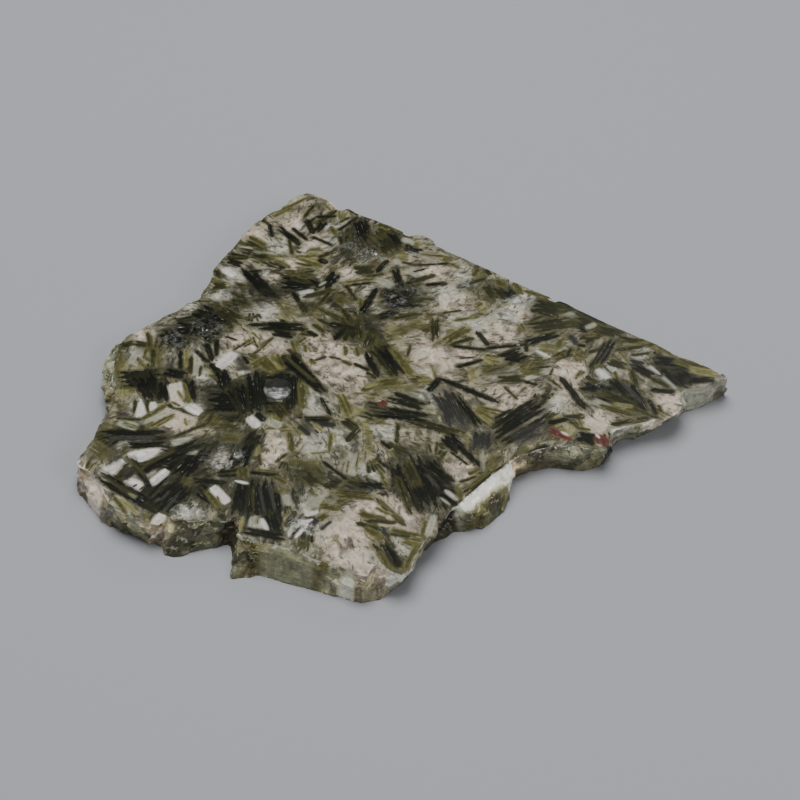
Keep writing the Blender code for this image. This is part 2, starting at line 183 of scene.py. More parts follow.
# %% Crystals on the left
LEFT = (
    (-79, -36.4, -68.6, -33.4, 4.4, "W"), (-86.4, -43.8, -80, -38.6, 5, "W"),
    (-80.2, -46.4, -72.6, -49.8, 5.6, "W"), (-86, -31, -83, -40, 4, "s"), (-92, -30, -84, -37, 5, "o"),
    (-90, -22, -84, -25, 4, "o"), (-89, -27, -68.6, -27.4, 4.8, "K"), (-86, -28.4, -72, -28.2, 1.2, "S"),
    (-80, -30.4, -74, -29.6, 0.6, "S"), (-80.4, -31.6, -69, -31, 2.6, "K"),
    (-70.6, -31.4, -67, -32.6, 1, "K"), (-68, -30.5, -61, -29, 2.4, "P"), (-68.5, -29, -57, -22, 1.6, "D"),
    (-72, -36, -58, -40, 9, "K"), (-66, -46, -57, -31, 6, "K"), (-65, -33.6, -59.5, -34, 2, "p"),
    (-77, -42, -58, -29, 4.6, "K"), (-75.4, -39.6, -66, -33, 1, "D"), (-81.4, -45.4, -77.8, -38.2, 4.8, "D"),
    (-80, -44, -77, -41, 2.4, "S"), (-68, -41, -75.4, -54.4, 4.4, "K"), (-72.4, -46.6, -68, -41.2, 2.5, "W"),
    (-79, -35.4, -71.8, -49.2, 2.1, "K"), (-79.6, -36, -74, -43.6, 0.7, "D"),
    (-77.4, -47.7, -75.8, -46.3, 0.8, "K"), (-75.4, -48.8, -73.7, -46.9, 0.7, "K"),
    (-88.6, -42, -66, -59, 4.6, "K"), (-87, -42.6, -76, -51.6, 0.8, "D"),
    (-78.6, -49.8, -75.8, -51.6, 0.5, "Y"), (-82.4, -51, -78, -58, 1.4, "O"),
    (-80.6, -51.6, -74.6, -58.4, 1, "Y"), (-71, -57, -61, -45, 8, "K"), (-69, -53, -66.5, -48.5, 0.4, "S"),
    (-68, -57, -64, -50, 0.5, "S"), (-60, -48.6, -56.6, -54, 0.5, "S"), (-62, -45, -50, -46, 2.4, "K"),
    (-63.6, -44.6, -60, -46.4, 2.6, "o"), (-60, -47, -50, -56, 5, "K"), (-55.8, -48, -51.5, -56, 3.6, "O"),
    (-54.8, -47.6, -50.2, -53.6, 2.6, "W"), (-53.4, -50.6, -52, -55, 0.7, "O"), (-70, -62, -68, -58, 3, "C"),
    (-87, 9.5, -81, 11.6, 2.6, "D"), (-82, 11.4, -77, 10, 2.6, "D"), (-80.2, 8.6, -82.6, 2, 1.6, "p"),
    (-86, 8, -84.4, 0, 2, "o"), (-77.6, 9.8, -78.6, 4, 1.2, "O"), (-76, 10, -75, 0, 1.8, "D"),
    (-74, 6, -72.4, -2, 3, "o"), (-70.6, 6, -70, -4, 3.4, "s"), (-80, 3.4, -76.4, -0.4, 1, "O"),
    (-86, -4.6, -71, -3.2, 7.6, "K"), (-79, -1, -73, -13.8, 7.4, "K"), (-71.6, -4, -71.4, -14.4, 4, "K"),
    (-72, -1, -65, -3, 4, "K"), (-84, -13, -82, -19, 4, "o"), (-85, -19.4, -80, -18, 3, "s"),
    (-79.6, -12, -79, -20, 1.4, "D"), (-75.8, -12, -75.6, -19, 1.5, "D"),
    (-77.8, -12.6, -77.2, -20.2, 2, "W", 0.8), (-74.2, -13.8, -73.8, -17.6, 1.8, "W"),
    (-84, -21.6, -77.5, -24.4, 2.6, "P"), (-83, -22, -78, -23.6, 0.6, "O"),
    (-82, -23.4, -77, -24.8, 0.6, "O"), (-75.6, -24.6, -67, -18.4, 1.4, "O"),
    (-77, -22.6, -69, -17.6, 1.2, "P"), (-73.6, -24.8, -67, -19.4, 0.8, "O"),
    (-77, -21, -70, -14.8, 1.8, "O"), (-85, -20.4, -76.4, -21.1, 1.3, "D"),
    (-70.6, -14.6, -59.2, -20.2, 1.8, "D"), (-64.6, -20, -63.6, -24, 1.2, "Y"),
    (-68.4, -6.2, -65.6, -15.4, 4.4, "C"), (-67.4, -8.8, -64.6, -14.6, 1.3, "Y"),
    (-69.2, -13.4, -66, -15.6, 1.1, "O"), (-64.5, -3.5, -62.8, -15, 3.8, "K"),
    (-65.8, -5.6, -63.4, -14.6, 1.1, "O"), (-64, -15.4, -60, -18.4, 3, "W"), (-66, 9, -65.4, 0, 1.6, "Y"),
    (-67.8, 8.8, -67, -1, 1.7, "K"), (-64.4, 6, -64, -2, 1.9, "D"), (-62.6, 9, -62.2, -2.6, 1.6, "P"),
    (-61, 2, -61.4, -3.4, 1, "D"), (-60.4, 12, -57.8, 3.4, 2.2, "K"), (-57.2, 14, -56.8, 4.4, 1.6, "K"),
    (-64.2, 9.2, -57.6, 1.4, 1.6, "K"), (-59.4, 0, -55.6, -4.6, 0.9, "Y"), (-59, -1.8, -55.2, -5.8, 0.9, "D"),
    (-58.6, 2.6, -53.2, -5, 2.4, "K"), (-55.4, 0, -52.4, -9.8, 4.6, "K"), (-58.4, -6.4, -56.6, -7, 1.6, "s"),
    (-50.6, 8, -47.6, -2, 4, "s"), (-49, 6, -46, 0, 1.4, "K"), (-55.8, 0.8, -51.4, 7, 3, "W"),
    (-55.4, 14.4, -50.4, 12.2, 1, "K"), (-55, 11.6, -53.4, 9.6, 0.6, "D"), (-52.6, 7.4, -46, 13.4, 1.1, "D"),
    (-49, 9.4, -45.6, 12, 0.8, "K"), (-73.6, 17, -66, 9, 5.4, "K"), (-71, 18, -60, 16.6, 6, "K"),
    (-64, 20, -56.6, 12, 6, "K"), (-62, 24, -55, 18, 6, "K"), (-59, -14, -45, -13.4, 9, "K"),
    (-52, -6, -46, -18, 5, "K"), (-56, -19.4, -46, -21.6, 3.4, "k"), (-57, -24, -47, -24, 3, "d"),
    (-50, -4, -45.4, -1, 1, "O"), (-50, -1.6, -46, -1.2, 1.2, "w"),
)

# %% [markdown]
# ### The front of the slab
#
# Two great black fans open towards the front edge. Between them are a thin black lath, a white
# window, and cream feldspar crossed by olive laths.

# %% Crystals at the front
FRONT = (
    (-54, -28, -47, -28.6, 4, "o"), (-50.8, -40, -42, -25, 4.6, "K"), (-47.4, -40, -45, -29, 4.4, "K"),
    (-49.4, -36, -46.6, -30, 0.5, "S"), (-37, -25.6, -33, -25.4, 1.2, "O"),
    (-42.6, -34.6, -41.4, -39.8, 1.1, "D"), (-37.4, -31.7, -35.4, -29.7, 0.6, "Y"),
    (-34, -25.8, -32.8, -34.8, 1.9, "O"), (-33.4, -27.4, -32.6, -33.6, 0.7, "D"),
    (-34, -38, -24, -38.6, 3, "o"), (-36.6, -41.4, -23.4, -43.4, 8.4, "d"), (-29.4, -42, -25, -47.4, 4, "D"),
    (-37.8, -38.5, -34, -34.2, 1.2, "D"), (-31.6, -23.4, -27.8, -27.6, 1.8, "K"),
    (-28.2, -34.7, -22.8, -34.2, 1.1, "O"), (-21.8, -26, -22.2, -34.4, 1.5, "O"),
    (-20.9, -26, -20.6, -30, 0.9, "Y"), (-15.4, -36, -14, -29, 1.8, "s"), (-16.6, -43, -15, -34, 3, "p"),
    (-17.2, -42.6, -16.6, -37, 0.6, "O"), (-14.6, -41, -13.6, -33, 0.6, "O"),
    (-12, -38.4, -8, -37.4, 1.6, "o"), (-46.8, -40, -46, -44.8, 3.2, "O"),
    (-44.6, -41.9, -35.8, -42.8, 2, "K"), (-44, -40.8, -36.5, -41.7, 0.9, "O"),
    (-38, -43.6, -33.6, -46.6, 1.6, "O"), (-45, -44, -46.8, -60, 6.4, "K"),
    (-41, -43.4, -40.6, -61, 8.4, "K", 0.15), (-36.8, -46.6, -35.2, -65, 2.2, "K"),
    (-38.6, -57, -35.8, -66.6, 4.4, "K"), (-38.9, -47, -36.7, -57, 0.45, "S"),
    (-41.6, -47.6, -39.6, -57.6, 0.4, "S"), (-43.4, -47, -43, -56, 0.4, "D"),
    (-43, -58.4, -42, -63.2, 2.6, "P", 0.5), (-41.8, -58.5, -41.3, -62, 0.7, "O"),
    (-40.5, -59.6, -38.6, -64.2, 1.1, "W"), (-45.6, -58.5, -46.4, -65, 0.8, "Y"),
    (-46, -63.8, -32.6, -66.8, 3.2, "K"), (-48.6, -45.2, -44.6, -46.4, 0.6, "W"),
    (-37, -47.6, -33, -50, 3, "o"), (-34.2, -50, -33, -55, 2, "p"), (-33.8, -63.4, -31, -56.6, 2.4, "D"),
    (-28.6, -57, -26, -50.6, 2, "p"), (-26, -56, -23.4, -50, 1.6, "p"), (-31.4, -66.6, -24.4, -57.6, 4, "K"),
    (-28, -64.4, -24.6, -59, 2.2, "S"), (-32.8, -66.2, -31.6, -62, 0.6, "W"),
    (-30.8, -66.6, -27.6, -61.6, 0.8, "W"), (-29.5, -61.4, -26.2, -59.8, 0.7, "W"),
    (-28.4, -58.3, -24.8, -57, 1.2, "W"), (-24.8, -60.4, -22, -57.6, 2.6, "O"),
    (-24.8, -54.8, -18.4, -55.8, 2.6, "O"), (-24, -64, -20.6, -60, 1.4, "S"),
    (-22.4, -63.6, -19.4, -60.6, 0.8, "P"), (-19.8, -47.4, -17.4, -46.3, 1, "O"),
    (-21.4, -50.2, -8.4, -51.8, 2.6, "O"), (-20, -49, -10, -50.2, 0.9, "D"),
    (-24.6, -37.2, -16.8, -45, 1.3, "K"), (-17.5, -45.2, -8.6, -49.2, 2.2, "D"),
    (-15.2, -46.6, -4.8, -47.6, 2.8, "K"), (-3.4, -36.4, 3.4, -57.6, 6.4, "K"),
    (1, -32, 8.4, -59.4, 8.6, "K"), (6, -36, 13.2, -54.4, 4.4, "K"), (-0.6, -37, 3, -48, 3.4, "D"),
    (4.6, -37.6, 13.4, -46.8, 3.4, "K"), (9, -50, 14.4, -55, 2.2, "K"), (4.6, -42, 9.2, -48.2, 0.45, "S"),
    (10, -46.6, 13.4, -48, 0.8, "S"), (4.4, -53.6, 7.6, -59, 0.5, "S"), (9, -51.4, 12.2, -54.6, 0.3, "P"),
    (10.6, -48.8, 14.2, -52.6, 1.1, "c"), (-7.8, -41, -5.4, -48.4, 1.1, "O"),
    (-4.6, -40.6, -3.2, -47.6, 1, "K"), (-3, -43.6, 0.8, -55.6, 2, "D"), (-9, -50, -5.4, -50.6, 0.7, "K"),
    (-9, -51.5, -0.2, -62.6, 2.1, "D"), (-8.2, -52.2, -1.4, -60.4, 0.7, "O"),
    (-9.4, -55, -4.6, -58.6, 1.2, "O"), (-14, -57.6, -5, -60, 2.2, "O"), (-12.4, -60.4, -2.8, -61, 1.8, "D"),
    (-14.4, -61, -6.6, -64.2, 1.9, "D"), (-12.4, -62.6, -6.4, -67, 2.2, "O"),
    (-7.2, -62.6, -5, -67, 1.7, "S"), (-5.2, -63.5, 5.2, -66.6, 2.2, "O"), (-5, -65.2, 1.4, -66.4, 1.3, "D"),
    (5.2, -60, 4, -67, 1.6, "O"), (7.6, -58, 5.6, -66, 1.4, "P"), (-8.4, -67, -1.6, -80, 5.6, "D"),
    (-6, -69, -1.8, -78, 2.2, "K"), (-8, -71, -4.4, -79.4, 1.6, "O"), (-5.6, -66.4, -3.4, -71, 1.8, "d"),
    (-0.8, -78.4, 3.4, -68, 2, "O"), (27.4, -38.2, 14.4, -52.4, 2.8, "D"), (26, -38.8, 17, -48, 1, "O"),
    (17.2, -42.8, 20.8, -40.4, 1.7, "O"), (14.6, -45.8, 20.2, -43.4, 1.2, "D"),
)

# %% [markdown]
# ### The back of the slab
#
# Seen from the camera the back shows long sweeping streaks. Dark masses stand behind the middle
# and at the right, next to the one straight sawn side.

# %% Crystals at the back
BACK = (
    (-64.6, 27, -56, 20, 7, "K"), (-58.6, 26, -50, 19, 7, "D"), (-66.8, 30.2, -59.2, 29.6, 1, "D"),
    (-60, 36.6, -55, 37, 3.6, "D"), (-59.2, 44.6, -58, 40.4, 2.2, "D"), (-57.2, 50.2, -48.8, 49.4, 1.8, "D"),
    (-56.4, 49, -50.6, 46, 3, "K"), (-56.8, 44.8, -53.2, 41.4, 2.6, "W"),
    (-54.2, 44.2, -50.2, 41.8, 0.9, "p"), (-53.2, 41.8, -49.4, 39.6, 0.9, "p"), (-52, 34, -48, 26, 4, "d"),
    (-51.2, 57.4, -43.8, 54.4, 2.8, "D"), (-50, 60.6, -43.6, 55, 2.2, "O"),
    (-48.6, 51.6, -42, 49.6, 2.4, "D"), (-43.8, 50.7, -37.6, 50.5, 1, "O"),
    (-35.6, 50.4, -27.6, 50.7, 1.2, "O"), (-50.4, 45.6, -40.6, 30.4, 4.8, "K"),
    (-49.4, 43.2, -42, 44.2, 1.4, "K"), (-43.4, 44, -35.6, 41.2, 1.4, "D"),
    (-45.8, 48.7, -40.6, 45.2, 1, "D"), (-41.4, 49.2, -35.6, 45.4, 1.1, "O"),
    (-35.4, 47.6, -28.4, 45.8, 1.2, "D"), (-34.4, 42, -27.6, 44.2, 1.1, "D"),
    (-39.6, 38.4, -27, 37, 6.6, "K"), (-36, 41, -30, 38.6, 2.2, "D"), (-46, 34, -37, 31, 3.4, "k"),
    (-32.8, 33, -28.4, 34.5, 2.1, "w"), (-35.2, 34.4, -30.2, 24.2, 2.1, "K"),
    (-47.2, 21.8, -44.2, 24.2, 1.1, "D"), (-39, 29.4, -34, 21.4, 4.2, "o"),
    (-48.6, 19.2, -36.6, 19.4, 1.8, "K"), (-44.4, 18.6, -30, 18.2, 4.2, "K"), (-41, 16, -33.6, 14.2, 3, "K"),
    (-37.6, 61.6, -35.4, 50.4, 1.3, "D"), (-36.4, 60.4, -33.2, 55.2, 1.9, "K"),
    (-42.2, 71, -31.2, 79.6, 1.4, "O"), (-43, 69, -36, 74.6, 1.2, "O"), (-29.2, 76.2, -33, 68.4, 1.5, "D"),
    (-27, 77, -24, 72.6, 1, "O"), (-21.8, 73.4, -29.2, 65.2, 2.3, "D"), (-29.2, 69.6, -21.8, 69.8, 1.5, "K"),
    (-32.2, 69.4, -29.2, 61.2, 2.4, "K"), (-25.4, 68.2, -29.2, 61.2, 2.8, "K"),
    (-24, 65.2, -22.2, 60.2, 1.9, "O"), (-15.2, 69.8, -22, 62.2, 1.4, "K"),
    (-17.6, 69.8, -21.4, 66.4, 1.2, "D"), (-18.4, 73.2, -14.8, 70, 1.4, "D"),
    (-15.2, 69.6, -12.6, 56.6, 5.4, "K"), (-10.4, 64, -2.6, 57.6, 7.6, "D"), (-9, 65.8, -4.4, 63.6, 2.2, "O"),
    (-9.4, 61, -2.4, 51.4, 8, "D"), (-5, 62, -2, 55, 3, "K"), (-21, 60.4, -20, 55.4, 1.8, "D"),
    (-43.7, 67, -42.3, 59.6, 1.8, "K"), (-46.2, 68.2, -43.4, 65.8, 1.4, "D"),
    (-40.8, 64.6, -33.2, 56.2, 2.6, "K"), (-36.4, 64.4, -30.6, 57.6, 1.6, "K"), (-42, 60, -38.4, 58, 1, "O"),
    (-30.2, 60.2, -22.6, 55.2, 1.5, "K"), (-28.2, 49.6, -21.4, 53.6, 2, "D"),
    (-27.8, 49.2, -24.2, 47.2, 2.4, "K"), (-29, 54, -25.8, 53.2, 1, "O"), (-17.2, 44, -9.2, 44.4, 4.6, "D"),
    (-9.6, 42.6, -5.6, 49, 2.4, "K"), (-18.8, 47.6, -14.8, 48, 1.1, "D"),
    (-21.2, 43.6, -26.4, 34.2, 4.2, "K"), (-30, 40.6, -26, 36, 2.6, "K"), (-27.2, 36.6, -24.6, 39, 0.5, "P"),
    (-20.4, 38.2, -8.8, 40.2, 1.1, "O"), (-20.2, 36.4, -9.6, 38.6, 1, "K"),
    (-13.2, 40.8, -5.6, 42.8, 1.1, "D"), (-8.9, 36.8, -13.5, 24.2, 2.4, "K"),
    (-18.8, 37.2, -15, 29.6, 1.7, "D"), (-14.2, 31.8, -14, 26.6, 1.5, "O"),
    (-32.2, 31.3, -20.8, 35.6, 2.4, "D"), (-23.4, 34.2, -28.4, 25.8, 1.5, "D"),
    (-22, 32.6, -18, 28, 3.4, "o"), (-28.8, 27.6, -17, 20.2, 1.7, "D"), (-26, 25.6, -17.4, 18.6, 1, "D"),
    (-20.6, 27.8, -16.4, 20.8, 1.1, "D"), (-16.2, 26.2, -14.8, 22.2, 0.7, "K"), (-8.4, 31, 3.4, 31, 9, "K"),
    (-9, 22, -2, 26, 3, "K"), (-3.8, 46, -1.8, 35.6, 2.8, "K"), (-0.6, 37, 4.8, 42.2, 1.7, "K"),
    (-8.8, 39.8, -3.8, 36.2, 2.6, "p"), (0.4, 44.6, 5.2, 40.4, 2.6, "p"), (1.4, 38.4, 9.6, 42.2, 2.4, "D"),
    (-3.2, 48.4, 3.4, 46.2, 1.2, "D"), (3, 46.4, 14.2, 47.2, 1.1, "K"), (2, 43.2, 6.2, 44.8, 1, "K"),
    (-4.2, 49.2, -1.4, 46.8, 1.9, "p"), (-1.2, 55.6, 5.2, 52.4, 2.6, "K"), (4.6, 51.4, 13.4, 50.4, 1, "O"),
    (5, 37, 13.4, 38, 1.8, "K"), (2, 31.6, 9.4, 30.2, 1.3, "D"), (-3, 23.6, 5.4, 24, 1.6, "D"),
    (13.6, 47.2, 17, 44.6, 1.6, "O"), (22.8, 45.2, 20.4, 40.4, 2.2, "O"), (24.6, 44.6, 26.2, 41.6, 2, "D"),
    (24.8, 40.4, 18.2, 37.2, 1.6, "D"), (14.6, 36.4, 21, 35.8, 1.8, "s"), (24, 37.6, 27.4, 30.6, 3.2, "D"),
    (27.4, 36.6, 31.2, 30.6, 3.6, "D"), (30.4, 35, 34.4, 29.6, 3.6, "K"), (33, 38.4, 36, 32, 2.2, "O"),
    (27, 40, 31, 36, 2.4, "O"), (36, 34.6, 44, 30.8, 1.6, "O"), (23.2, 29.2, 20.6, 26.8, 1.6, "O"),
    (25, 27.4, 22.2, 25, 2, "Y"), (38.4, 27.8, 51.6, 27, 5.4, "K"), (40.4, 24.4, 50, 25.6, 2.4, "D"),
    (50, 22.4, 61, 20, 6.6, "D"), (52, 26.4, 62, 18.6, 3.2, "D"), (48, 22, 56, 15.6, 3, "K"),
    (45, 20.9, 51.4, 24.4, 2.4, "p"), (46.4, 22, 49, 23, 0.8, "O"), (53.8, 17.5, 57.8, 19.9, 1.7, "p"),
    (52.4, 11.8, 60.4, 17, 4.2, "D"), (53.4, 14.4, 57.6, 15, 1.6, "O"), (57.4, 17.4, 66, 14.6, 4.4, "D"),
    (35, 21.6, 36.6, 22.2, 0.7, "K"), (34.4, 20, 35.8, 16.4, 1, "O"), (33, 20.4, 36, 15, 1.2, "o"),
)

# %% [markdown]
# ### The right of the slab
#
# One straight black lath leads from the sawn side inwards. Darker leaves sweep towards the tip,
# and two brick-red crystals sit at the front edge.

# %% Crystals on the right
RIGHT = (
    (46.6, 13.2, 45, 8.4, 2.1, "O"), (50.6, 10.4, 54.2, 9.6, 1.5, "K"), (49, 15.2, 51.2, 10, 2.2, "S"),
    (47.4, 4.2, 49.5, 9.8, 0.9, "K"), (46.2, 6.8, 47.4, 4, 1.2, "D"), (36, 13.2, 35.8, 7.4, 1.3, "K"),
    (38.8, 7.8, 42.6, 5.2, 0.6, "W"), (34.8, 8.2, 32.6, 3.8, 0.6, "P"), (53.4, 6.8, 59.2, 9.2, 1.9, "D"),
    (50.2, 6.6, 54, 4.4, 1.2, "O"), (62.4, 8, 75.2, 11, 2.1, "D"), (63, 13.2, 72.4, 11.2, 2.8, "D"),
    (64, 9.6, 74.4, 12, 0.9, "O"), (74, 10.8, 79.8, 5.4, 1.3, "O"), (66.2, 5.8, 73.6, 7, 1.4, "D"),
    (73.7, 6.6, 74.7, 7.4, 1.3, "K"), (59.4, 3.6, 66.2, 0.4, 3.4, "D"), (56.6, 0, 59.4, -4, 3, "w"),
    (61.6, -0.8, 62.5, -6.2, 1.5, "O"), (65.8, 3, 71.4, 1.2, 3.6, "S"), (66.8, 1.8, 73.4, -3.6, 3.4, "K"),
    (66.6, 0, 67.8, -8.4, 2.1, "D"), (72.4, 4.2, 85, 1.8, 4.4, "K"), (73.6, 1.6, 80.6, -8.4, 4.2, "K"),
    (80, -1, 84.4, -7.6, 5.4, "K"), (81.6, -5, 91.4, -4.4, 2.8, "K"), (79.6, 4.2, 91.4, -1.6, 3.2, "O"),
    (83.6, 0, 92.4, -2.4, 2.6, "Y"), (72, 1.4, 75, -2.4, 0.7, "w"), (75.2, -2.8, 79.6, -9, 1, "p"),
    (70.6, -8.6, 79.8, -9.9, 2.1, "K"), (71.6, -3.6, 77.8, -8.2, 1.9, "D"),
    (50.4, -6.6, 62.4, -9.8, 4.8, "K"), (60, -4, 65.4, -11.4, 3.2, "K"), (53, -11, 70.4, -14.2, 3.6, "K"),
    (56, -9, 70.4, -18.2, 3.2, "D"), (66, -6, 69.8, -18.4, 2.4, "K"), (63.4, -5.6, 69, -14.4, 1, "S"),
    (54, -12.8, 59.6, -16.6, 2.4, "p"), (56, -15, 66.4, -19.2, 2, "O"), (60, -14.6, 66.4, -15.8, 1.2, "Y"),
    (57, -16.4, 66, -19.6, 0.8, "D"), (70.6, -12.4, 72.8, -19.4, 1.5, "K"),
    (73.4, -14.8, 74.1, -18.2, 1.1, "D"), (58.4, -23.3, 66.4, -21.2, 1.9, "D"),
    (66.4, -21, 70.6, -20, 1.4, "D"), (45.2, -20.4, 51.8, -19.6, 2.5, "D"), (50, -3, 53, -1, 1.4, "O"),
    (52.6, -2.6, 56, -5.6, 2.2, "D"), (52, 0, 49.6, -4.4, 1.2, "O"), (48.4, -27, 55.2, -30, 4.8, "K"),
    (49, -24.4, 53.4, -25.4, 1.5, "O"), (44.6, -31.8, 55.4, -33.2, 1.4, "O"),
    (40.4, -24.6, 45.4, -27.8, 2.6, "R"), (43, -26.8, 47.6, -29.4, 1.9, "R"),
    (44.4, -25.8, 46.4, -27.4, 0.7, "C"), (54.6, -27.4, 56, -31.4, 2.6, "R"),
    (56, -26.4, 57.4, -32, 2.6, "R"), (54.4, -26.8, 55.4, -28.6, 0.8, "C"), (60.2, 12.6, 54.2, 0.2, 1, "K"),
    (62.8, 13.6, 56.2, 0.6, 2.8, "K"), (61, 9.4, 57.4, 3, 0.4, "S"),
)

# %% [markdown]
# ### Round the pit
#
# The black mass in which the small pit lies, the olive brush above it, and the feldspar to its
# right with a few thin laths.

# %% Crystals round the pit
ROUND_PIT = (
    (-49, -4, -45, -19, 6, "K"), (-45, 1, -42.6, -20, 6.4, "K"), (-44, -18, -41, -22, 2.4, "K"),
    (-43, -1.4, -32, -1.6, 6.4, "K"), (-42, -16, -33, -16.4, 5, "K"), (-33.6, 1, -33.2, -19, 5.4, "K"),
    (-39, -14.6, -35, -20.6, 3.4, "D"), (-31, -5, -30.2, -17, 2.4, "O"), (-33.4, -16.6, -31, -19, 1.2, "O"),
    (-46.4, 0.6, -41, 5.4, 3.2, "O"), (-43.6, 4.4, -38, -1.6, 4.4, "O"), (-40.4, 6, -36.6, 0, 2.4, "Y"),
    (-38.8, 7, -36.6, 0, 1.2, "O"), (-37.4, 6.4, -33.8, 0.6, 2.4, "D"),
    (-36, 5.6, -24.2, -10.2, 4.6, "K", -0.5), (-34.8, 3.6, -27, -5.6, 0.8, "D"),
    (-46.8, 5, -39.8, 14.2, 1.4, "D"), (-44.8, 9, -42, 13, 1.8, "o"), (-49.6, 13, -44.2, 9.6, 0.7, "O"),
    (-47, 16.4, -43.6, 12, 0.8, "O"), (-46.6, 14.8, -44.4, 8.4, 0.8, "D"),
    (-34.8, 13.2, -33.3, 7.2, 1.3, "O"), (-30.3, 10.8, -30.3, 7, 1.2, "O"),
    (-30.2, 16.6, -26.2, 13.8, 1.7, "K"), (-32.6, 11.2, -30.2, 13.8, 0.9, "D"),
    (-28.8, 19.8, -24.4, 15.6, 1.3, "D"), (-28, 3.4, -23.6, 5.5, 1.2, "S"), (-23.8, 5.5, -19.2, 4, 1.1, "D"),
    (-29, 4.4, -27, 2, 1.6, "O"), (-19.8, 3.8, -15.8, 1.4, 1.7, "O"), (-16.2, 2.6, -10.4, -1, 1.5, "K"),
    (-18.4, 10.2, -18.2, 5.6, 1.6, "O"), (-15.2, 9.8, -14.3, 4.8, 1.6, "O"),
    (-14.2, -9.8, -7.6, -5.6, 2.4, "O"), (-12.6, -8, -8, -6, 0.8, "Y"), (-8.2, -6.2, -1.6, -4.8, 3.4, "O"),
    (-20.2, -10.6, -16.8, -20.2, 1.7, "O"), (-12, -1, -9, -4.4, 1.6, "D"),
    (-41.4, -24.7, -33.8, -24, 1.1, "O"), (-46, -20, -43, -24, 2.6, "W"), (-40, -21.6, -36, -24, 2.4, "P"),
    (-8, -13.2, -6.2, -15.8, 2.6, "R"), (-26.4, -22, -20.4, -23.6, 2.2, "S"),
    (-30, -21, -22, -21.4, 1.6, "K"), (-40.2, -2.2, -37.6, -1.2, 0.5, "s"),
    (-37.8, -1.2, -35, -0.9, 0.5, "s"), (-35.2, -0.9, -32.6, -2.2, 0.5, "s"),
)
ALL_ROWS = (BACK, LEFT, RIGHT, FRONT, MIDDLE, ROUND_PIT)
print("crystals read in all:", sum(len(rows) for rows in ALL_ROWS))

# %% [markdown]
# ## Laying the blades into a flat face
#
# A blade is a rectangle or a fan in the plane of the polish. Where blades cross, the upper one
# hides the lower one. Stacking thin plates would leave steps and flicker on a face that is
# polished flat, so the face is one mosaic: all the blades' edges are drawn into a single
# triangulation, and each triangle remembers the five topmost blades over it. The material then
# paints each blade's own grain, in the blade's own length and width, with no step at all.

# %% Shape of one blade
# A blade thins out beyond the places where its row starts and ends, and light glows round it, in mm
BEYOND_ENDS = 1.12
GLOW = 0.6


def half_width(blade, along):
    """Half the width at a place along the blade, from -1 at its start to 1 at its end."""
    return blade.width / 2 * (1 + blade.taper * along)


def blade_axes(blade):
    """Middle, unit direction, unit side and half length of a blade."""
    run = blade.end - blade.start
    direction = run.normalized()
    side = Vector((-direction.y, direction.x))
    return (blade.start + blade.end) / 2, direction, side, run.length / 2 * BEYOND_ENDS


def blade_corners(blade):
    """The blade's four corners on the face, with room at its sides for the glow round it."""
    middle, direction, side, reach = blade_axes(blade)
    corners = []
    for along, across in ((-1, -1), (1, -1), (1, 1), (-1, 1)):
        offset = side * (half_width(blade, along) + GLOW) * across
        corners.append(middle + direction * reach * along + offset)
    return corners


def place_on_blade(blade_frame, blade, point):
    """Where a point lies along and across a blade, each from -1 to 1."""
    middle, direction, side, reach = blade_frame
    offset = point - middle
    along = offset.dot(direction) / reach
    return along, offset.dot(side) / half_width(blade, max(-1.0, min(1.0, along)))


# %% [markdown]
# ## The small crystals between
#
# Between the large blades the stone is a felt of small ones, in tufts that open from one root.
# They are scattered with a fixed seed, but not evenly. They follow the grain of the stone, which
# is written down as directions at some places and blended between them. Few of them enter the
# clear feldspar, and they are blacker where the ground is murky.

# %% Grain of the stone
FLOWS = (
    # x, y, direction in degrees
    (-75, -50, -40), (-80, -27, 0), (-65, -48, 60), (-86, 5, -75), (-72, 15, 10), (-68, 3, 85), (-55, 0, -50),
    (-50, 45, -30), (-35, 40, -5), (-43, 58, -40), (-30, 70, 50), (-15, 60, 75), (0, 45, 20), (10, 48, 0),
    (-25, 35, 50), (-20, 22, -35), (0, 30, 20), (5, 22, 10), (18, 12, 25), (27, 37, 75), (50, 22, 10),
    (60, 8, 60), (50, -10, -60), (62, -12, -30), (75, -5, -50), (85, 0, -15), (33, 8, 20), (38, -17, 45),
    (15, -20, -60), (-5, -18, -10), (-15, -36, -75), (-30, -60, 65), (-40, -52, -80), (3, -48, -75),
    (-15, -50, -15), (-5, -72, -60), (22, -44, 50), (-38, 5, -45), (-47, -12, 70), (-55, -13, 30),
    (-60, -38, 45), (-28, -3, -50), (-18, 5, -60), (-88, -35, 75),
)


def flow_at(point):
    """Direction of the grain at a place on the face, in radians."""
    total = Vector((0, 0))
    for x, y, degrees in FLOWS:
        distance = (point - Vector((x, y)) + ROW_ORIGIN).length
        doubled = math.radians(2 * degrees)
        total += Vector((math.cos(doubled), math.sin(doubled))) / (distance + 4) ** 3
    return math.atan2(total.y, total.x) / 2


# %% Colour of the stone behind the crystals
def linear(colour):
    """An sRGB hex colour such as "#C4B6A3" as linear red, green, blue and alpha."""
    channels = [int(colour[i : i + 2], 16) / 255 for i in (1, 3, 5)]
    curved = [c / 12.92 if c <= 0.04045 else ((c + 0.055) / 1.055) ** 2.4 for c in channels]
    return (*curved, 1.0)


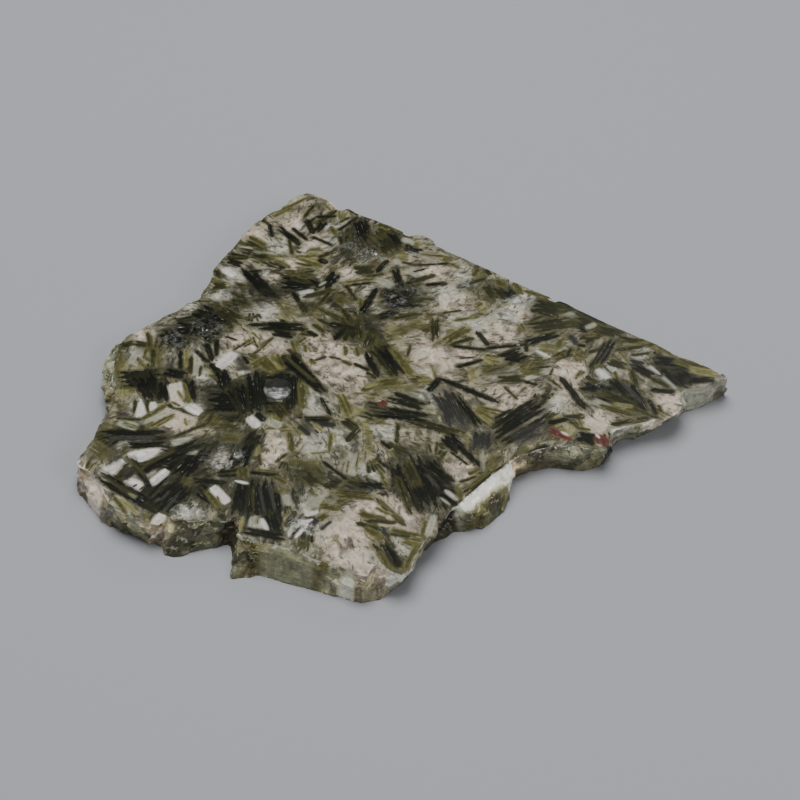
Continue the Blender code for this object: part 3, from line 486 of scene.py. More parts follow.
TONES = {
    "C": "#DACDBE",  # cream to pink feldspar
    "W": "#BDBEB4",  # grey-white quartz
    "G": "#35362A",  # murky green, crowded with mica below the face
    # K also serves on the wall as painted shade in hollows and crevices
    "K": "#1E201A",  # almost black mica
    "P": "#A5A691",  # pale grey-green mica
    "O": "#5E5C39",  # olive mica
    "B": "#D9D8CC",  # bright silvery sheet
    "F": "#8D8F88",  # silver flake in the pit
    "N": "#6E5F52",  # brown stain
    "L": "#EADDCF",  # fresh cream feldspar in the break
    "S": "#A9AAA2",  # grey cleavage sheet
    "V": "#7D7E6A",  # dull grey-green sheet
    # Y: olive mica painted lighter, as if in full light: its own colour and painted light
    "Y": "#7D7A50",  # olive mica that light passes through
    # H: pale mica painted near white, partly its own colour and partly a painted reflection of the light
    "H": "#F2F1E8",  # white crest
}
DEFAULT_TONE = "#938E7A"
GROUNDS = (
    # x, y, radius in mm, tone
    (8, 8, 6, "C"), (9, 2, 6, "C"), (31, -14, 7, "C"), (-18, -3, 8, "C"), (-24, 9, 7, "C"), (-20, 1, 6, "C"),
    (-38, -30, 4.5, "C"), (-39, -37, 3, "C"), (27, 15, 6, "C"), (14, 29, 5, "C"), (8, 43, 4, "C"),
    (-5, -57, 5, "C"), (2, -61, 4, "C"), (-18, -66, 7, "C"), (-15, -74, 6, "C"), (-12, -56, 5, "C"),
    (15, -41, 4, "C"), (48, -1, 5, "C"), (46, -10, 4, "C"), (77, -14, 4, "C"), (-66, -22, 6, "C"),
    (-67, -11, 4, "C"), (-28, 56, 3.5, "C"), (-47, 63, 4, "C"), (-52, 12, 4, "C"), (-45, 11, 4, "C"),
    (-38, 10, 4, "C"), (-18, 43, 3, "C"), (-80, 15, 4, "C"), (-38, 77, 4, "C"), (-35, 65, 4, "C"),
    (55, -21, 5, "C"), (-42, 42, 3.5, "C"), (-34, 47, 3, "C"), (16, 4, 4, "C"), (36, 23, 3, "C"),
    (-74, -35.6, 3.6, "W"), (-83, -41, 3, "W"), (-76, -47.6, 3.4, "W"), (-70, -44, 2.4, "W"),
    (-54, 3, 3.6, "W"), (-27, -14, 4, "W"), (-25, -30, 5, "W"), (-10.8, -43, 3, "W"), (-18, -28, 4, "W"),
    (-13, 35, 3, "W"), (-43, 25, 4, "W"), (31, 23, 4, "W"), (22, 19, 3, "W"), (-40, 56, 4, "W"),
    (-31, 33, 3, "W"), (58, -2, 3, "W"), (37, 30, 3, "W"), (-78, -16, 3, "W"), (-82, 7, 3, "W"),
    (-60, -4, 3, "W"), (-62, -16, 3, "W"), (43, -14, 4, "W"), (-28, -54, 4, "W"), (-42, -61, 2, "W"),
    (-1, -70, 3, "W"), (-44, -20, 3, "W"), (5, -10, 3, "W"), (16, 22, 3, "W"), (42, 9, 3, "W"),
    (-23, 66, 3, "W"), (-24, 58, 3, "W"), (17, 43, 3, "W"), (12, 33, 4, "W"), (63, 1, 3, "W"),
    (69, 8, 3, "W"), (-54, 43, 4, "W"), (-66, 27, 3, "W"), (-6, -25, 4, "W"), (-30, 52, 3, "W"),
    (-86, -32, 6, "G"), (-70, 15, 8, "G"), (-60, 22, 8, "G"), (-56, -14, 8, "G"), (-30, -43, 6, "G"),
    (-40, 37, 7, "G"), (-16, 57, 8, "G"), (-5, 58, 6, "G"), (0, 30, 7, "G"), (45, 24, 8, "G"),
    (56, 22, 6, "G"), (62, -12, 7, "G"), (80, 0, 7, "G"), (-60, -38, 7, "G"), (-45, -52, 8, "G"),
    (3, -46, 9, "G"), (-14, 17, 7, "G"), (-15, -49, 5, "G"), (-50, 30, 6, "G"), (28, 34, 5, "G"),
    (-20, 30, 4, "G"), (-70, -50, 6, "G"), (-66, -44, 6, "G"), (-56, -50, 6, "G"), (-50, -31, 6, "G"),
    (-48, -42, 5, "G"), (-84, -46, 4, "G"), (-80, -28, 5, "G"), (-50, -14, 7, "G"), (-36, 12, 4, "G"),
    (-66, -30, 5, "G"), (-38, 2, 6, "O"), (-8, -7, 4, "O"), (-50, -22, 5, "O"), (22, -44, 4, "O"),
    (-86, 3, 5, "O"), (-38, -5, 5, "K"), (-33, -12, 5, "K"), (-44, -12, 5, "K"), (-38, -17, 4, "K"),
    (-40, -9.6, 1.8, "F"), (-38, -11, 2, "F"), (-35.6, -11.4, 1.6, "F"), (-37.6, -13.2, 1, "B"),
    (-38.6, -6.6, 2.4, "K"), (-35.4, -7.6, 2, "K"), (-52, -37, 4.5, "B"), (-61, -57.5, 4, "B"),
    (-28.5, -62, 3.5, "B"), (34, 30.4, 4, "B"), (-57, 33, 3, "W"), (-41, -32.6, 0.9, "N"),
    (-39.6, -33.4, 0.8, "N"), (-18.2, -4, 1, "N"), (-18.6, -7.8, 1.5, "N"), (-16, -4.2, 0.8, "N"),
    (-22.8, -6.4, 0.8, "N"), (13, 42.4, 0.9, "N"), (16.6, 28.6, 0.9, "N"), (18.8, 28.2, 0.7, "N"),
    (-68.4, -7.6, 1.2, "N"), (-9.8, 47, 1.6, "N"), (26, 15.2, 0.8, "N"), (28, 13, 1.6, "N"),
    (31, 17.4, 0.9, "N"), (36.4, 23.6, 0.7, "N"), (-2, -59.6, 1.2, "N"),
)


def blend_tones(places, rows, reach, weight_of_default, crispness):
    """Colours at places, blended from rows of (x, y, radius, tone) that lie near them."""
    at = np.array(places)[:, None, :]
    middles = np.array([row[:2] for row in rows]) - np.array(ROW_ORIGIN)
    radii = np.array([row[2] for row in rows]) * reach
    colours = np.array([linear(TONES[row[3]]) for row in rows])
    nearness = np.clip(1 - np.linalg.norm(at - middles, axis=2) / radii, 0, 1) ** crispness
    nearness /= radii
    total = nearness.sum(axis=1, keepdims=True) + weight_of_default
    return (nearness @ colours + weight_of_default * np.array(linear(DEFAULT_TONE))) / total


# %% Small crystals
SHORTEST_TUFT, LONGEST_TUFT = 4.0, 12.0
# How far a tuft strays from the grain, in radians, and how often the clear ground refuses one
STRAY = 0.35
KEPT_CLEAR = 0.93


def is_clear(point):
    """Whether the ground here is open feldspar or quartz."""
    for x, y, radius, tone in GROUNDS:
        reach = {"C": 1.0, "W": 0.7}.get(tone, 0.0) * radius
        if (point - Vector((x, y)) + ROW_ORIGIN).length < reach:
            return True
    return False


def is_murky(point):
    """Whether black mica crowds below the face here."""
    for x, y, radius, tone in GROUNDS:
        if tone in "GK" and (point - Vector((x, y)) + ROW_ORIGIN).length < radius * 1.2:
            return True
    return False


def is_inside(point, outline):
    """Whether a point lies inside a closed outline: a ray from it crosses the outline oddly often."""
    inside = False
    for a, b in zip(outline, outline[1:] + outline[:1]):
        if (a.y > point.y) != (b.y > point.y):
            inside ^= point.x < a.x + (b.x - a.x) * (point.y - a.y) / (b.y - a.y)
    return inside


def felt_tufts(count, rng, outline):
    """Random tufts along the grain: a few slim crystals that fan out from one root."""
    reach_x = max(abs(p.x) for p in outline)
    reach_y = max(abs(p.y) for p in outline)
    blades = []
    tufts = 0
    while tufts < count:
        root = Vector((rng.uniform(-reach_x, reach_x), rng.uniform(-reach_y, reach_y)))
        if not is_inside(root, outline):
            continue
        angle = flow_at(root) + rng.gauss(0, STRAY) + rng.choice((0.0, math.pi))
        length = SHORTEST_TUFT + (LONGEST_TUFT - SHORTEST_TUFT) * rng.uniform(0, 1) ** 1.6
        tip = root + Vector((math.cos(angle), math.sin(angle))) * length
        clear = is_clear(root) or is_clear(tip) or is_clear((root + tip) / 2)
        if clear and rng.random() < KEPT_CLEAR:
            continue
        tufts += 1
        opening = rng.uniform(0.04, 0.2)
        looks = "KDOOY" if clear else rng.choice(("KKD", "KDD", "DDO", "DOO", "OOY", "DOP"))
        if is_murky(root):
            looks = rng.choice(("KKK", "KKD", "KDD"))
        depth = rng.choice((0.1, 0.4, 0.6, 0.8))
        members = 2 if clear else rng.randint(3, 5)
        for k in range(members):
            lean = angle + (k - (members - 1) / 2) * opening + rng.gauss(0, 0.05)
            run = Vector((math.cos(lean), math.sin(lean)))
            side = Vector((-run.y, run.x)) * (k - (members - 1) / 2) * 0.5
            first = root + side + run * rng.uniform(-0.8, 0.8)
            last = first + run * length * rng.uniform(0.6, 1.0)
            width = rng.uniform(0.3, 0.8) + 0.07 * length
            look = LOOKS[rng.choice(looks)]
            blades.append(Blade(first, last, width, look, depth, rng.uniform(-0.5, 0.5)))
    return blades


# %% [markdown]
# ## The broken wall
#
# The solid's wall has the great ledges and hollows. A real break goes on in smaller planes, each
# with its own tilt, and where two of them meet it is painted lighter, partly as pale crushed stone
# and partly as a painted highlight. So the wall is divided, a few hundred planes are placed on it,
# and each point moves to the plane nearest to it. Noise alone would look like melted wax. The
# points at both flat faces keep their height. Where the rock split along one great sheet of mica,
# the wall stays whole and flat.

# %% Copy the solid and take off its flat faces
# In mm: points closer than FLAT count as one, and edges over LONGEST_EDGE are divided
FLAT = 1e-3
LONGEST_EDGE = 0.9


def copy_of_solid():
    bm = bmesh.new()
    bm.from_mesh(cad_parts["slab"].data)
    bmesh.ops.scale(bm, vec=(1 / MM, 1 / MM, 1 / MM), verts=bm.verts)
    bmesh.ops.remove_doubles(bm, verts=bm.verts, dist=FLAT)
    return bm


def is_flat_face(face):
    heights = {round(v.co.z, 2) for v in face.verts}
    return len(heights) == 1 and abs(face.normal.z) > 0.999 and heights <= {0.0, round(TOP, 2)}


body = copy_of_solid()
plucked_layer = body.verts.layers.float.new("plucked")
ground_layer = body.verts.layers.float_color.new("ground")
grain_layer = body.verts.layers.float.new("grain")
cast_and_border_highlight_layer = body.verts.layers.float_vector.new("cast")
gloss_layer = body.verts.layers.float.new("gloss")
whole_layer = body.verts.layers.float.new("whole")
flat_faces = [f for f in body.faces if is_flat_face(f)]
bmesh.ops.delete(body, geom=flat_faces, context="FACES")
for _ in range(2):
    long_edges = [e for e in body.edges if e.calc_length() > LONGEST_EDGE]
    bmesh.ops.subdivide_edges(body, edges=long_edges, cuts=1, use_grid_fill=True)
bmesh.ops.triangulate(body, faces=body.faces)
print("wall faces:", len(body.faces))

# %% Choose the planes of the break
FACET_SPACING = 2.9
FACET_SLOPE = 0.3
FACET_STEP = 0.3
FACETS_TRIED = 4000
SHADES = (0.5, 0.75, 0.95, 1.1, 1.35)
CLEAVED = (
    # x, y, radius in mm of the great sheets that the break left whole
    (-29, -75, 11), (-37, -74, 7), (16, -52.5, 4), (20, -48.5, 4.5), (24.5, -44, 4.5), (28, -40.6, 3.6),
    (86, -9, 9), (-17, -81, 3.4), (-88, -48, 5),
)
STRAIGHT_SIDE = Vector((0.563, 0.826, 0.0))
# Neutral, olive and brown
CASTS = ((1.0, 1.0, 1.0), (1.0, 1.0, 1.0), (0.95, 0.97, 0.78), (1.04, 0.94, 0.82))
NO_CAST = Vector((1.0, 1.0, 1.0))


class Facet(NamedTuple):
    """One plane of the break: its middle, tilt and step in mm, its colour cast, and its gloss."""

    middle: Vector
    slope: Vector
    step: float
    cast: Vector
    gloss: float


PIT_MIDDLE = Vector((-37.8, -8.6)) - ROW_ORIGIN
PIT_REACH, PIT_DEPTH = 5.2, 1.5


def in_pit(point):
    return (point.to_2d() - PIT_MIDDLE).length < PIT_REACH and point.z > TOP - PIT_DEPTH


def choose_facets(bm, rng):
    verts = [v for v in bm.verts if not in_pit(v.co)]
    rng.shuffle(verts)
    facets = []
    for vert in verts[:FACETS_TRIED]:
        if any((vert.co - f.middle).length < FACET_SPACING for f in facets):
            continue
        slope = Vector([rng.uniform(-1, 1) * FACET_SLOPE for _ in range(3)])
        step = rng.uniform(-1, 1) * FACET_STEP
        cast = Vector(rng.choice(CASTS)) * rng.choice(SHADES)
        facets.append(Facet(vert.co.copy(), slope, step, cast, rng.random()))
    return facets


facets = choose_facets(body, random.Random(BREAK_SEED))
facet_tree = kdtree.KDTree(len(facets))
for k, facet in enumerate(facets):
    facet_tree.insert(facet.middle, k)
facet_tree.balance()
print("planes of the break:", len(facets))


# %% Break the wall along them
# A push of the wall is at most this far, in mm, half of it at the rim and less on the sawn side
FARTHEST_PUSH = 0.6
AT_RIM, ON_SAWN_SIDE = 0.5, 0.25


def wholeness(point):
    """1 inside a great whole sheet, 0 away from it."""
    here = point.to_2d() + ROW_ORIGIN
    nearest = min((here - Vector((x, y))).length / radius for x, y, radius in CLEAVED)
    return max(0.0, min(1.0, 1.6 * (1 - nearest)))


body.normal_update()
for vert in body.verts:
    vert[cast_and_border_highlight_layer] = (1.0, 1.0, 1.0)
    vert[gloss_layer] = 0.5
    if in_pit(vert.co):
        continue
    on_rim = vert.co.z > TOP - FLAT or vert.co.z < FLAT
    out = Vector((vert.normal.x, vert.normal.y, 0.0 if on_rim else vert.normal.z))
    wander = noise.noise_vector(vert.co * 0.7) * 0.7
    (_, k, first), (_, _, second) = facet_tree.find_n(vert.co + wander, 2)
    facet = facets[k]
    whole = wholeness(vert.co)
    strength = (AT_RIM if on_rim else 1.0) * (1 - whole)
    if vert.normal.dot(STRAIGHT_SIDE) > 0.96:
        strength *= ON_SAWN_SIDE
    push = facet.step + facet.slope.dot(vert.co - facet.middle)
    fine = noise.noise(vert.co * 1.3) * 0.05
    vert.co += out * (max(-FARTHEST_PUSH, min(FARTHEST_PUSH, push)) * strength + fine)
    if not on_rim:
        vert.co.z = max(0.05, min(TOP - 0.05, vert.co.z))
    # Painted highlight: points near the border of two planes are painted up to 35% lighter
    border_highlight = max(0.0, 1 - (second - first) / 0.35)
    vert[cast_and_border_highlight_layer] = facet.cast.lerp(NO_CAST, whole) * (1 + 0.35 * border_highlight)
    vert[gloss_layer] = facet.gloss + (1 - facet.gloss) * whole
    vert[whole_layer] = whole
body.normal_update()

# %% [markdown]
# ## The mosaic
#
# The edges of the wall's two open rings become the outlines of the two flat faces. A loose grid
# of extra points keeps the triangles small enough to carry smooth changes of colour.

# %% Find the open rings
def open_rings(bm, height):
    """Loops of wall vertices at this height whose face has been taken off."""
    edges = [
        e for e in bm.edges if e.is_boundary and abs(sum(v.co.z for v in e.verts) / 2 - height) < FLAT
    ]
    left = set(edges)
    rings = []
    for edge in edges:
        if edge not in left:
            continue
        left.discard(edge)
        ring = [edge.verts[0], edge.verts[1]]
        while True:
            following = [e for e in ring[-1].link_edges if e in left]
            if not following:
                break
            left.discard(following[0])
            ring.append(following[0].other_vert(ring[-1]))
        rings.append(ring[:-1] if ring[-1] is ring[0] else ring)
    return sorted(rings, key=len, reverse=True)


for height in (TOP, 0.0):
    print("rings at", height, [len(r) for r in open_rings(body, height)])

# %% Triangulate a face with its blades
TOP_TUFTS = 440
# Spacing of the extra points in mm, on the whole face and in the torn patches
GRID, PLUCKED_GRID = 1.5, 0.7
LAYERS = 5
PLUCKED = (
    # x, y, radius of the patches where sheets were torn out of the polish
    (-70, 13, 5.5), (-60, 17, 6), (-54, -38, 5.5), (-63, -57, 4), (-57, -58.5, 3), (-30, -61, 4.5),
    (-27, -64, 3), (-12, 51, 6), (-4, 30, 6.5), (3, 34.5, 4), (19, 36.6, 4), (32, 31, 4), (37, 29.6, 3),
    (-17, 57, 4), (57, -7, 3), (-48, -35, 3), (-44, 43, 3), (-57, 33, 3), (1, 53, 3), (-10, -49.4, 2),
)


def pluckedness(point):
    """0 on the true polish, towards 1 inside a plucked patch, with a ragged border."""
    deepest = 0.0
    ragged = noise.noise(Vector((point.x, point.y, 3.0)) * 0.35) * 0.6
    for x, y, radius in PLUCKED:
        distance = (point - Vector((x, y)) + ROW_ORIGIN).length / radius
        deepest = max(deepest, min(1.0, (1.0 - distance + ragged) * 2.0))
    return deepest


class Mosaic(NamedTuple):
    points: list
    triangles: list
    blades: list


def anticlockwise(outline):
    area = sum(a.cross(b) for a, b in zip(outline, outline[1:] + outline[:1]))
    return outline if area > 0 else outline[::-1]


def lay_mosaic(rings, blades, rng, fine_points=()):
    """Triangles of a flat face, each with the blades over it, topmost first."""
    points = []
    faces = []
    outlines = [anticlockwise([v.co.to_2d() for v in ring]) for ring in rings]
    for outline in outlines + [blade_corners(b) for b in blades]:
        faces.append(list(range(len(points), len(points) + len(outline))))
        points.extend(outline)
    xs = [p.x for p in points[: len(rings[0])]]
    ys = [p.y for p in points[: len(rings[0])]]
    for i in range(int((max(xs) - min(xs)) / GRID)):
        for j in range(int((max(ys) - min(ys)) / GRID)):
            wander = Vector((rng.uniform(-0.4, 0.4), rng.uniform(-0.4, 0.4))) * GRID
            points.append(Vector((min(xs) + i * GRID, min(ys) + j * GRID)) + wander)
    points.extend(fine_points)
    made = delaunay_2d_cdt(points, [], faces, 1, 1e-4, True)
    triangles = []
    over = []
    holes = set(range(1, len(rings)))
    for corners, sources in zip(made[2], made[5]):
        if 0 in sources and not holes & set(sources):
            triangles.append(corners)
            top_first = sorted((s - len(rings) for s in sources if s >= len(rings)), reverse=True)
            over.append(top_first[:LAYERS])
    return Mosaic([Vector(p) for p in made[0]], triangles, over)


top_rings = open_rings(body, TOP)
top_outline = [v.co.to_2d() for v in top_rings[0]]
top_rng = random.Random(TOP_SEED)
top_blades = read_rows(SMOKE) + felt_tufts(TOP_TUFTS, top_rng, top_outline)
for rows in ALL_ROWS:
    top_blades += read_rows(rows)
print("blades on the polished face:", len(top_blades))
plucked_points = []
for x, y, radius in PLUCKED:
    steps = int(1.4 * radius / PLUCKED_GRID)
    for i in range(-steps, steps + 1):
        for j in range(-steps, steps + 1):
            wander = Vector((top_rng.uniform(-0.4, 0.4), top_rng.uniform(-0.4, 0.4)))
            point = Vector((x, y)) - ROW_ORIGIN + (Vector((i, j)) + wander) * PLUCKED_GRID
            if pluckedness(point) > 0:
                plucked_points.append(point)
top_mosaic = lay_mosaic(top_rings, top_blades, top_rng, plucked_points)
print("triangles of the polished face:", len(top_mosaic.triangles))

# %% [markdown]
# Where a blade's edge reaches the rim it puts a new point on the rim's edge. The wall needs the
# same point, or a hairline gap would show, so the wall's edge is split there before both are
# sewn together.

# %% Sew the face to the wall
def split_rim(bm, rings, rim_points):
    """Splits the wall's open edges at points of the mosaic that lie on them."""
    tree = kdtree.KDTree(len(rim_points))
    for k, point in enumerate(rim_points):
        tree.insert(point.to_3d(), k)
    tree.balance()
    for ring in rings:
        for a, b in zip(ring, ring[1:] + ring[:1]):
            edge = bm.edges.get((a, b))
            start, end = a.co.to_2d(), b.co.to_2d()
            middle = ((start + end) / 2).to_3d()
            found = []
            for _, k, _ in tree.find_range(middle, (end - start).length / 2 + 0.01):
                nearest, share = intersect_point_line(rim_points[k], start, end)
                if (nearest.to_2d() - rim_points[k]).length < 2 * FLAT and 0.002 < share < 0.998:
                    found.append((share, k))
            last_share = 0.0
            from_vert = a
            for share, k in sorted(found):
                part = (share - last_share) / (1 - last_share)
                if part < 0.002:
                    continue
                edge, new_vert = bmesh.utils.edge_split(edge, from_vert, part)
                new_vert.co.x, new_vert.co.y = rim_points[k]
                edge = bm.edges.get((new_vert, b))
                from_vert = new_vert
                last_share = share


def rim_indices_of(mosaic):
    """Numbers of the points on the open edges of the mosaic."""
    uses = {}
    for corners in mosaic.triangles:
        for i in range(3):
            key = tuple(sorted((corners[i], corners[i - 1])))
            uses[key] = uses.get(key, 0) + 1
    return sorted({i for key, count in uses.items() if count == 1 for i in key})


def rim_points_of(mosaic):
    return [mosaic.points[i] for i in rim_indices_of(mosaic)]


place_layers = [body.loops.layers.float_vector.new(f"place_{k}") for k in range(LAYERS)]
size_layers = [body.faces.layers.float_vector.new(f"size_{k}") for k in range(LAYERS)]
POLISHED, BROKEN, SAWN, PITTED = 0, 1, 2, 3
# How deep torn sheets lie below the polish, in mm
TORN_DEPTH = 0.3


def add_face_of(mosaic, blades, height, upwards, finish, seed_shift):
    """Adds a mosaic to the body at a height, with each blade's measures on its triangles."""
    verts = [body.verts.new((p.x, p.y, height)) for p in mosaic.points]
    if finish == POLISHED:
        on_rim = set(rim_indices_of(mosaic))
        for k, vert in enumerate(verts):
            torn = 0.0 if k in on_rim else pluckedness(mosaic.points[k])
            vert[plucked_layer] = torn
            if torn > 0:
                bend = noise.noise_vector(vert.co * 0.6) * 0.7
                step = noise.cell(Vector((vert.co.x, vert.co.y, 0.0)) * 0.6 + bend)
                vert.co.z -= torn * TORN_DEPTH * (0.15 + 0.85 * step)
    frames = {}
    for corners, over in zip(mosaic.triangles, mosaic.blades):
        order = corners if upwards else list(reversed(corners))
        face = body.faces.new([verts[i] for i in order])
        face.material_index = finish
        for k, b in enumerate(over):
            blade = blades[b]
            if b not in frames:
                frames[b] = blade_axes(blade)
            face[size_layers[k]] = (frames[b][3], blade.width / 2, blade.look)
            for loop in face.loops:
                along, across = place_on_blade(frames[b], blade, loop.vert.co.to_2d())
                loop[place_layers[k]] = (along, across, (b + seed_shift) % 997 + blade.depth)


for face in body.faces:
    face.material_index = PITTED if in_pit(face.calc_center_median()) else BROKEN
split_rim(body, top_rings, rim_points_of(top_mosaic))
add_face_of(top_mosaic, top_blades, TOP, True, POLISHED, 0)

# %% [markdown]
# The underside is sawn through the same crystals and left unpolished. It gets its own smaller
# set of random blades. Rounding can leave tiny holes at the rim, so the last lines close the skin.

# %% The sawn underside
UNDER_TUFTS = 150
under_rng = random.Random(UNDER_SEED)
under_rings = open_rings(body, 0.0)
under_outline = [v.co.to_2d() for v in under_rings[0]]
under_blades = felt_tufts(UNDER_TUFTS, under_rng, under_outline)
under_mosaic = lay_mosaic(under_rings, under_blades, under_rng)
split_rim(body, under_rings, rim_points_of(under_mosaic))
add_face_of(under_mosaic, under_blades, 0.0, False, SAWN, 400)
bmesh.ops.delete(body, geom=[v for v in body.verts if not v.link_faces], context="VERTS")
bmesh.ops.remove_doubles(body, verts=[v for v in body.verts if v.is_boundary], dist=20 * FLAT)
filled = bmesh.ops.holes_fill(body, edges=[e for e in body.edges if e.is_boundary], sides=6)["faces"]
bmesh.ops.triangulate(body, faces=[f for f in body.faces if len(f.verts) > 3])

# Two faces back to back on the same corners enclose nothing, so both go
twins = {}
for face in body.faces:
    twins.setdefault(frozenset(face.verts), []).append(face)
fins = [face for same in twins.values() if len(same) > 1 for face in same]
bmesh.ops.delete(body, geom=fins, context="FACES")
unclosed = sum(not e.is_manifold for e in body.edges)
print("faces:", len(body.faces), "fins:", len(fins), "holes filled:", len(filled))
print("unclosed edges:", unclosed)

# %% [markdown]
# The colour of the ground behind the crystals is blended for every point from the places written
# down above, and on the wall from those below. Going round the rim, the break shows pale cleavage
# faces and pink or cream feldspar, and its hollows are painted dark, a painted shade. Weights that
# fall off steeply keep neighbouring faces of the wall apart in colour.

# %% Colours of the ground and of the wall
WALLS = (
    # x, y, radius in mm, tone
    # On the wall, the K rows darken hollows and crevices: painted shade
    (88, -7, 9, "S"), (80, -14, 4, "S"), (92, -12, 3, "O"), (77, -17, 4, "C"), (61, -25, 3, "H"),
    (66, -22.4, 4, "H"), (71, -19.6, 3, "H"), (65, -28, 4, "G"), (58, -29, 3, "K"), (50, -34, 5, "P"),
    (45, -37, 3, "K"), (40, -38, 4, "G"), (33, -41, 4, "C"), (15.4, -53, 3, "H"), (18.4, -50, 3, "H"),
    (21.6, -46.8, 3, "H"), (25, -43.4, 3, "H"), (28, -40.6, 3, "H"), (18.6, -57, 3, "Y"), (22, -53.6, 3, "Y"),
    (25.4, -50, 3, "Y"), (28.6, -46.4, 3, "Y"), (31, -43.4, 2, "O"), (16, -59, 3, "O"), (11, -58, 4, "K"),
    (10, -65, 4, "N"), (5, -68, 3, "P"), (2, -76, 3, "B"), (-3, -81, 4, "B"), (-8, -81, 4, "C"),
    (-12, -83, 3, "C"), (-17, -81.4, 2.4, "B"), (-21, -79, 3, "P"), (-22, -76, 4, "O"), (-29, -73, 5, "V"),
    (-38, -74, 5, "V"), (-43, -71, 3, "O"), (-47, -69, 4, "V"), (-50, -64, 3, "K"), (-58, -64, 6, "V"),
    (-65, -65, 2, "K"), (-70, -62, 4, "L"), (-77, -61, 6, "P"), (-85, -56, 3, "P"), (-88, -48, 7, "L"),
    (-92, -41, 4, "L"), (-92, -34, 3, "N"), (-91, -27, 5, "O"), (-88, -20, 5, "O"), (-87, -14, 4, "O"),
    (-88, -2, 5, "P"), (-89, 6, 4, "P"), (-86, 11, 4, "O"), (-80, 16, 6, "P"), (-72, 22, 5, "O"),
    (-66, 28, 4, "P"), (-61, 34, 5, "O"), (-60, 42, 5, "G"), (-55, 52, 6, "O"), (-50, 62, 5, "P"),
    (-44, 70, 5, "O"), (-33, 80, 6, "P"), (-24, 76, 5, "C"), (-15, 71, 5, "G"), (-5, 64, 5, "O"),
    (6, 57, 5, "P"), (14, 51, 5, "O"), (30, 40, 8, "P"), (42, 32, 5, "O"), (55, 25, 8, "G"), (68, 15, 8, "O"),
    (78, 8, 5, "P"), (88, 2, 5, "P"),
)


def colour_points():
    wall_verts = {v for f in body.faces if f.material_index == BROKEN for v in f.verts}
    for verts, rows, reach, rest, crispness in (
        ([v for v in body.verts if v not in wall_verts], GROUNDS, 1.5, 0.02, 2),
        ([v for v in body.verts if v in wall_verts], WALLS, 2.0, 0.0002, 6),
    ):
        colours = blend_tones([(v.co.x, v.co.y) for v in verts], rows, reach, rest, crispness)
        for vert, colour in zip(verts, colours):
            vert[ground_layer] = colour
            vert[grain_layer] = flow_at(vert.co.to_2d())


colour_points()

# %% Make it one object, in metres
bmesh.ops.scale(body, vec=(MM, MM, MM), verts=body.verts)
stone_mesh = bpy.data.meshes.new("polished_mica_slab")
body.to_mesh(stone_mesh)
body.free()


def new_object(name, data):
    """A new object with this data, in the scene."""
    made = bpy.data.objects.new(name, data)
    bpy.context.scene.collection.objects.link(made)
    return made


stone = new_object("polished_mica_slab", stone_mesh)

# %% [markdown]
# ## Materials
#
# A small helper comes first: it adds a node with its settings and links.

# %% Node helper
def add(tree, kind, inputs=None, out=0, **settings):
    """Adds a node, sets it and links it. Gives its output number out, or the node if out is None."""
    made = tree.nodes.new(kind)
    for name, value in settings.items():
        setattr(made, name, value)
    for key, value in (inputs or {}).items():
        if isinstance(value, bpy.types.NodeSocket):
            tree.links.new(value, made.inputs[key])
        else:
            made.inputs[key].default_value = value
    return made if out is None else made.outputs[out]


def declare(tree, in_out, *sockets):
    """Gives a node group its inputs or outputs, as pairs of name and kind."""
    for name, kind in sockets:
        tree.interface.new_socket(name, in_out=in_out, socket_type="NodeSocket" + kind)


# Sockets of a colour mix node: factor, the two colours, and the result
FACTOR, FIRST, SECOND, MIXED = 0, 6, 7, 2


def set_ramp(node, stops):
    """Gives a colour ramp these (position, hex colour) stops."""
    ramp = node.color_ramp
    while len(ramp.elements) > 1:
        ramp.elements.remove(ramp.elements[-1])
    for k, (position, colour) in enumerate(stops):
        element = ramp.elements[0] if k == 0 else ramp.elements.new(position)
        element.position = position
        element.color = linear(colour)
    return node.outputs[0]


# %% [markdown]
# ### One blade of mica
#
# Mica is a stack of sheets, so a blade cut edge-on shows fine lines along its length. Thick
# parts are black and the thin edges let olive light through. A wide blade is a sheaf of laths that
# end at different lengths, each in its own point. This group paints one blade over whatever lies
# below it, and is used once for each layer that a triangle remembers.
#
# An image of a blade would be quicker, but the lines would then be as coarse as its pixels.

# %% Node group for a blade
BLADE_COLOURS = (
    # look, colour where the blade is thick, colour where it is thin
    ("K", "#10120D", "#2C2D1B"), ("S", "#2C2C28", "#43423D"), ("D", "#282917", "#484728"),
    ("O", "#444324", "#67643B"), ("Y", "#6B6840", "#918D5D"), ("P", "#94957F", "#B5B6A4"),
    ("W", "#DAD6CB", "#E6E2D8"), ("C", "#D9CDBE", "#E2D9CC"), ("R", "#57302A", "#6F463D"),
)
FIBRES_PER_MM = 2.6
LATH_WIDTH = 2.4
# Shares of half the blade's length: how far a lath can stop short, and how long its point is
LATH_RETREAT = 0.22
POINT_SHARE = 0.7


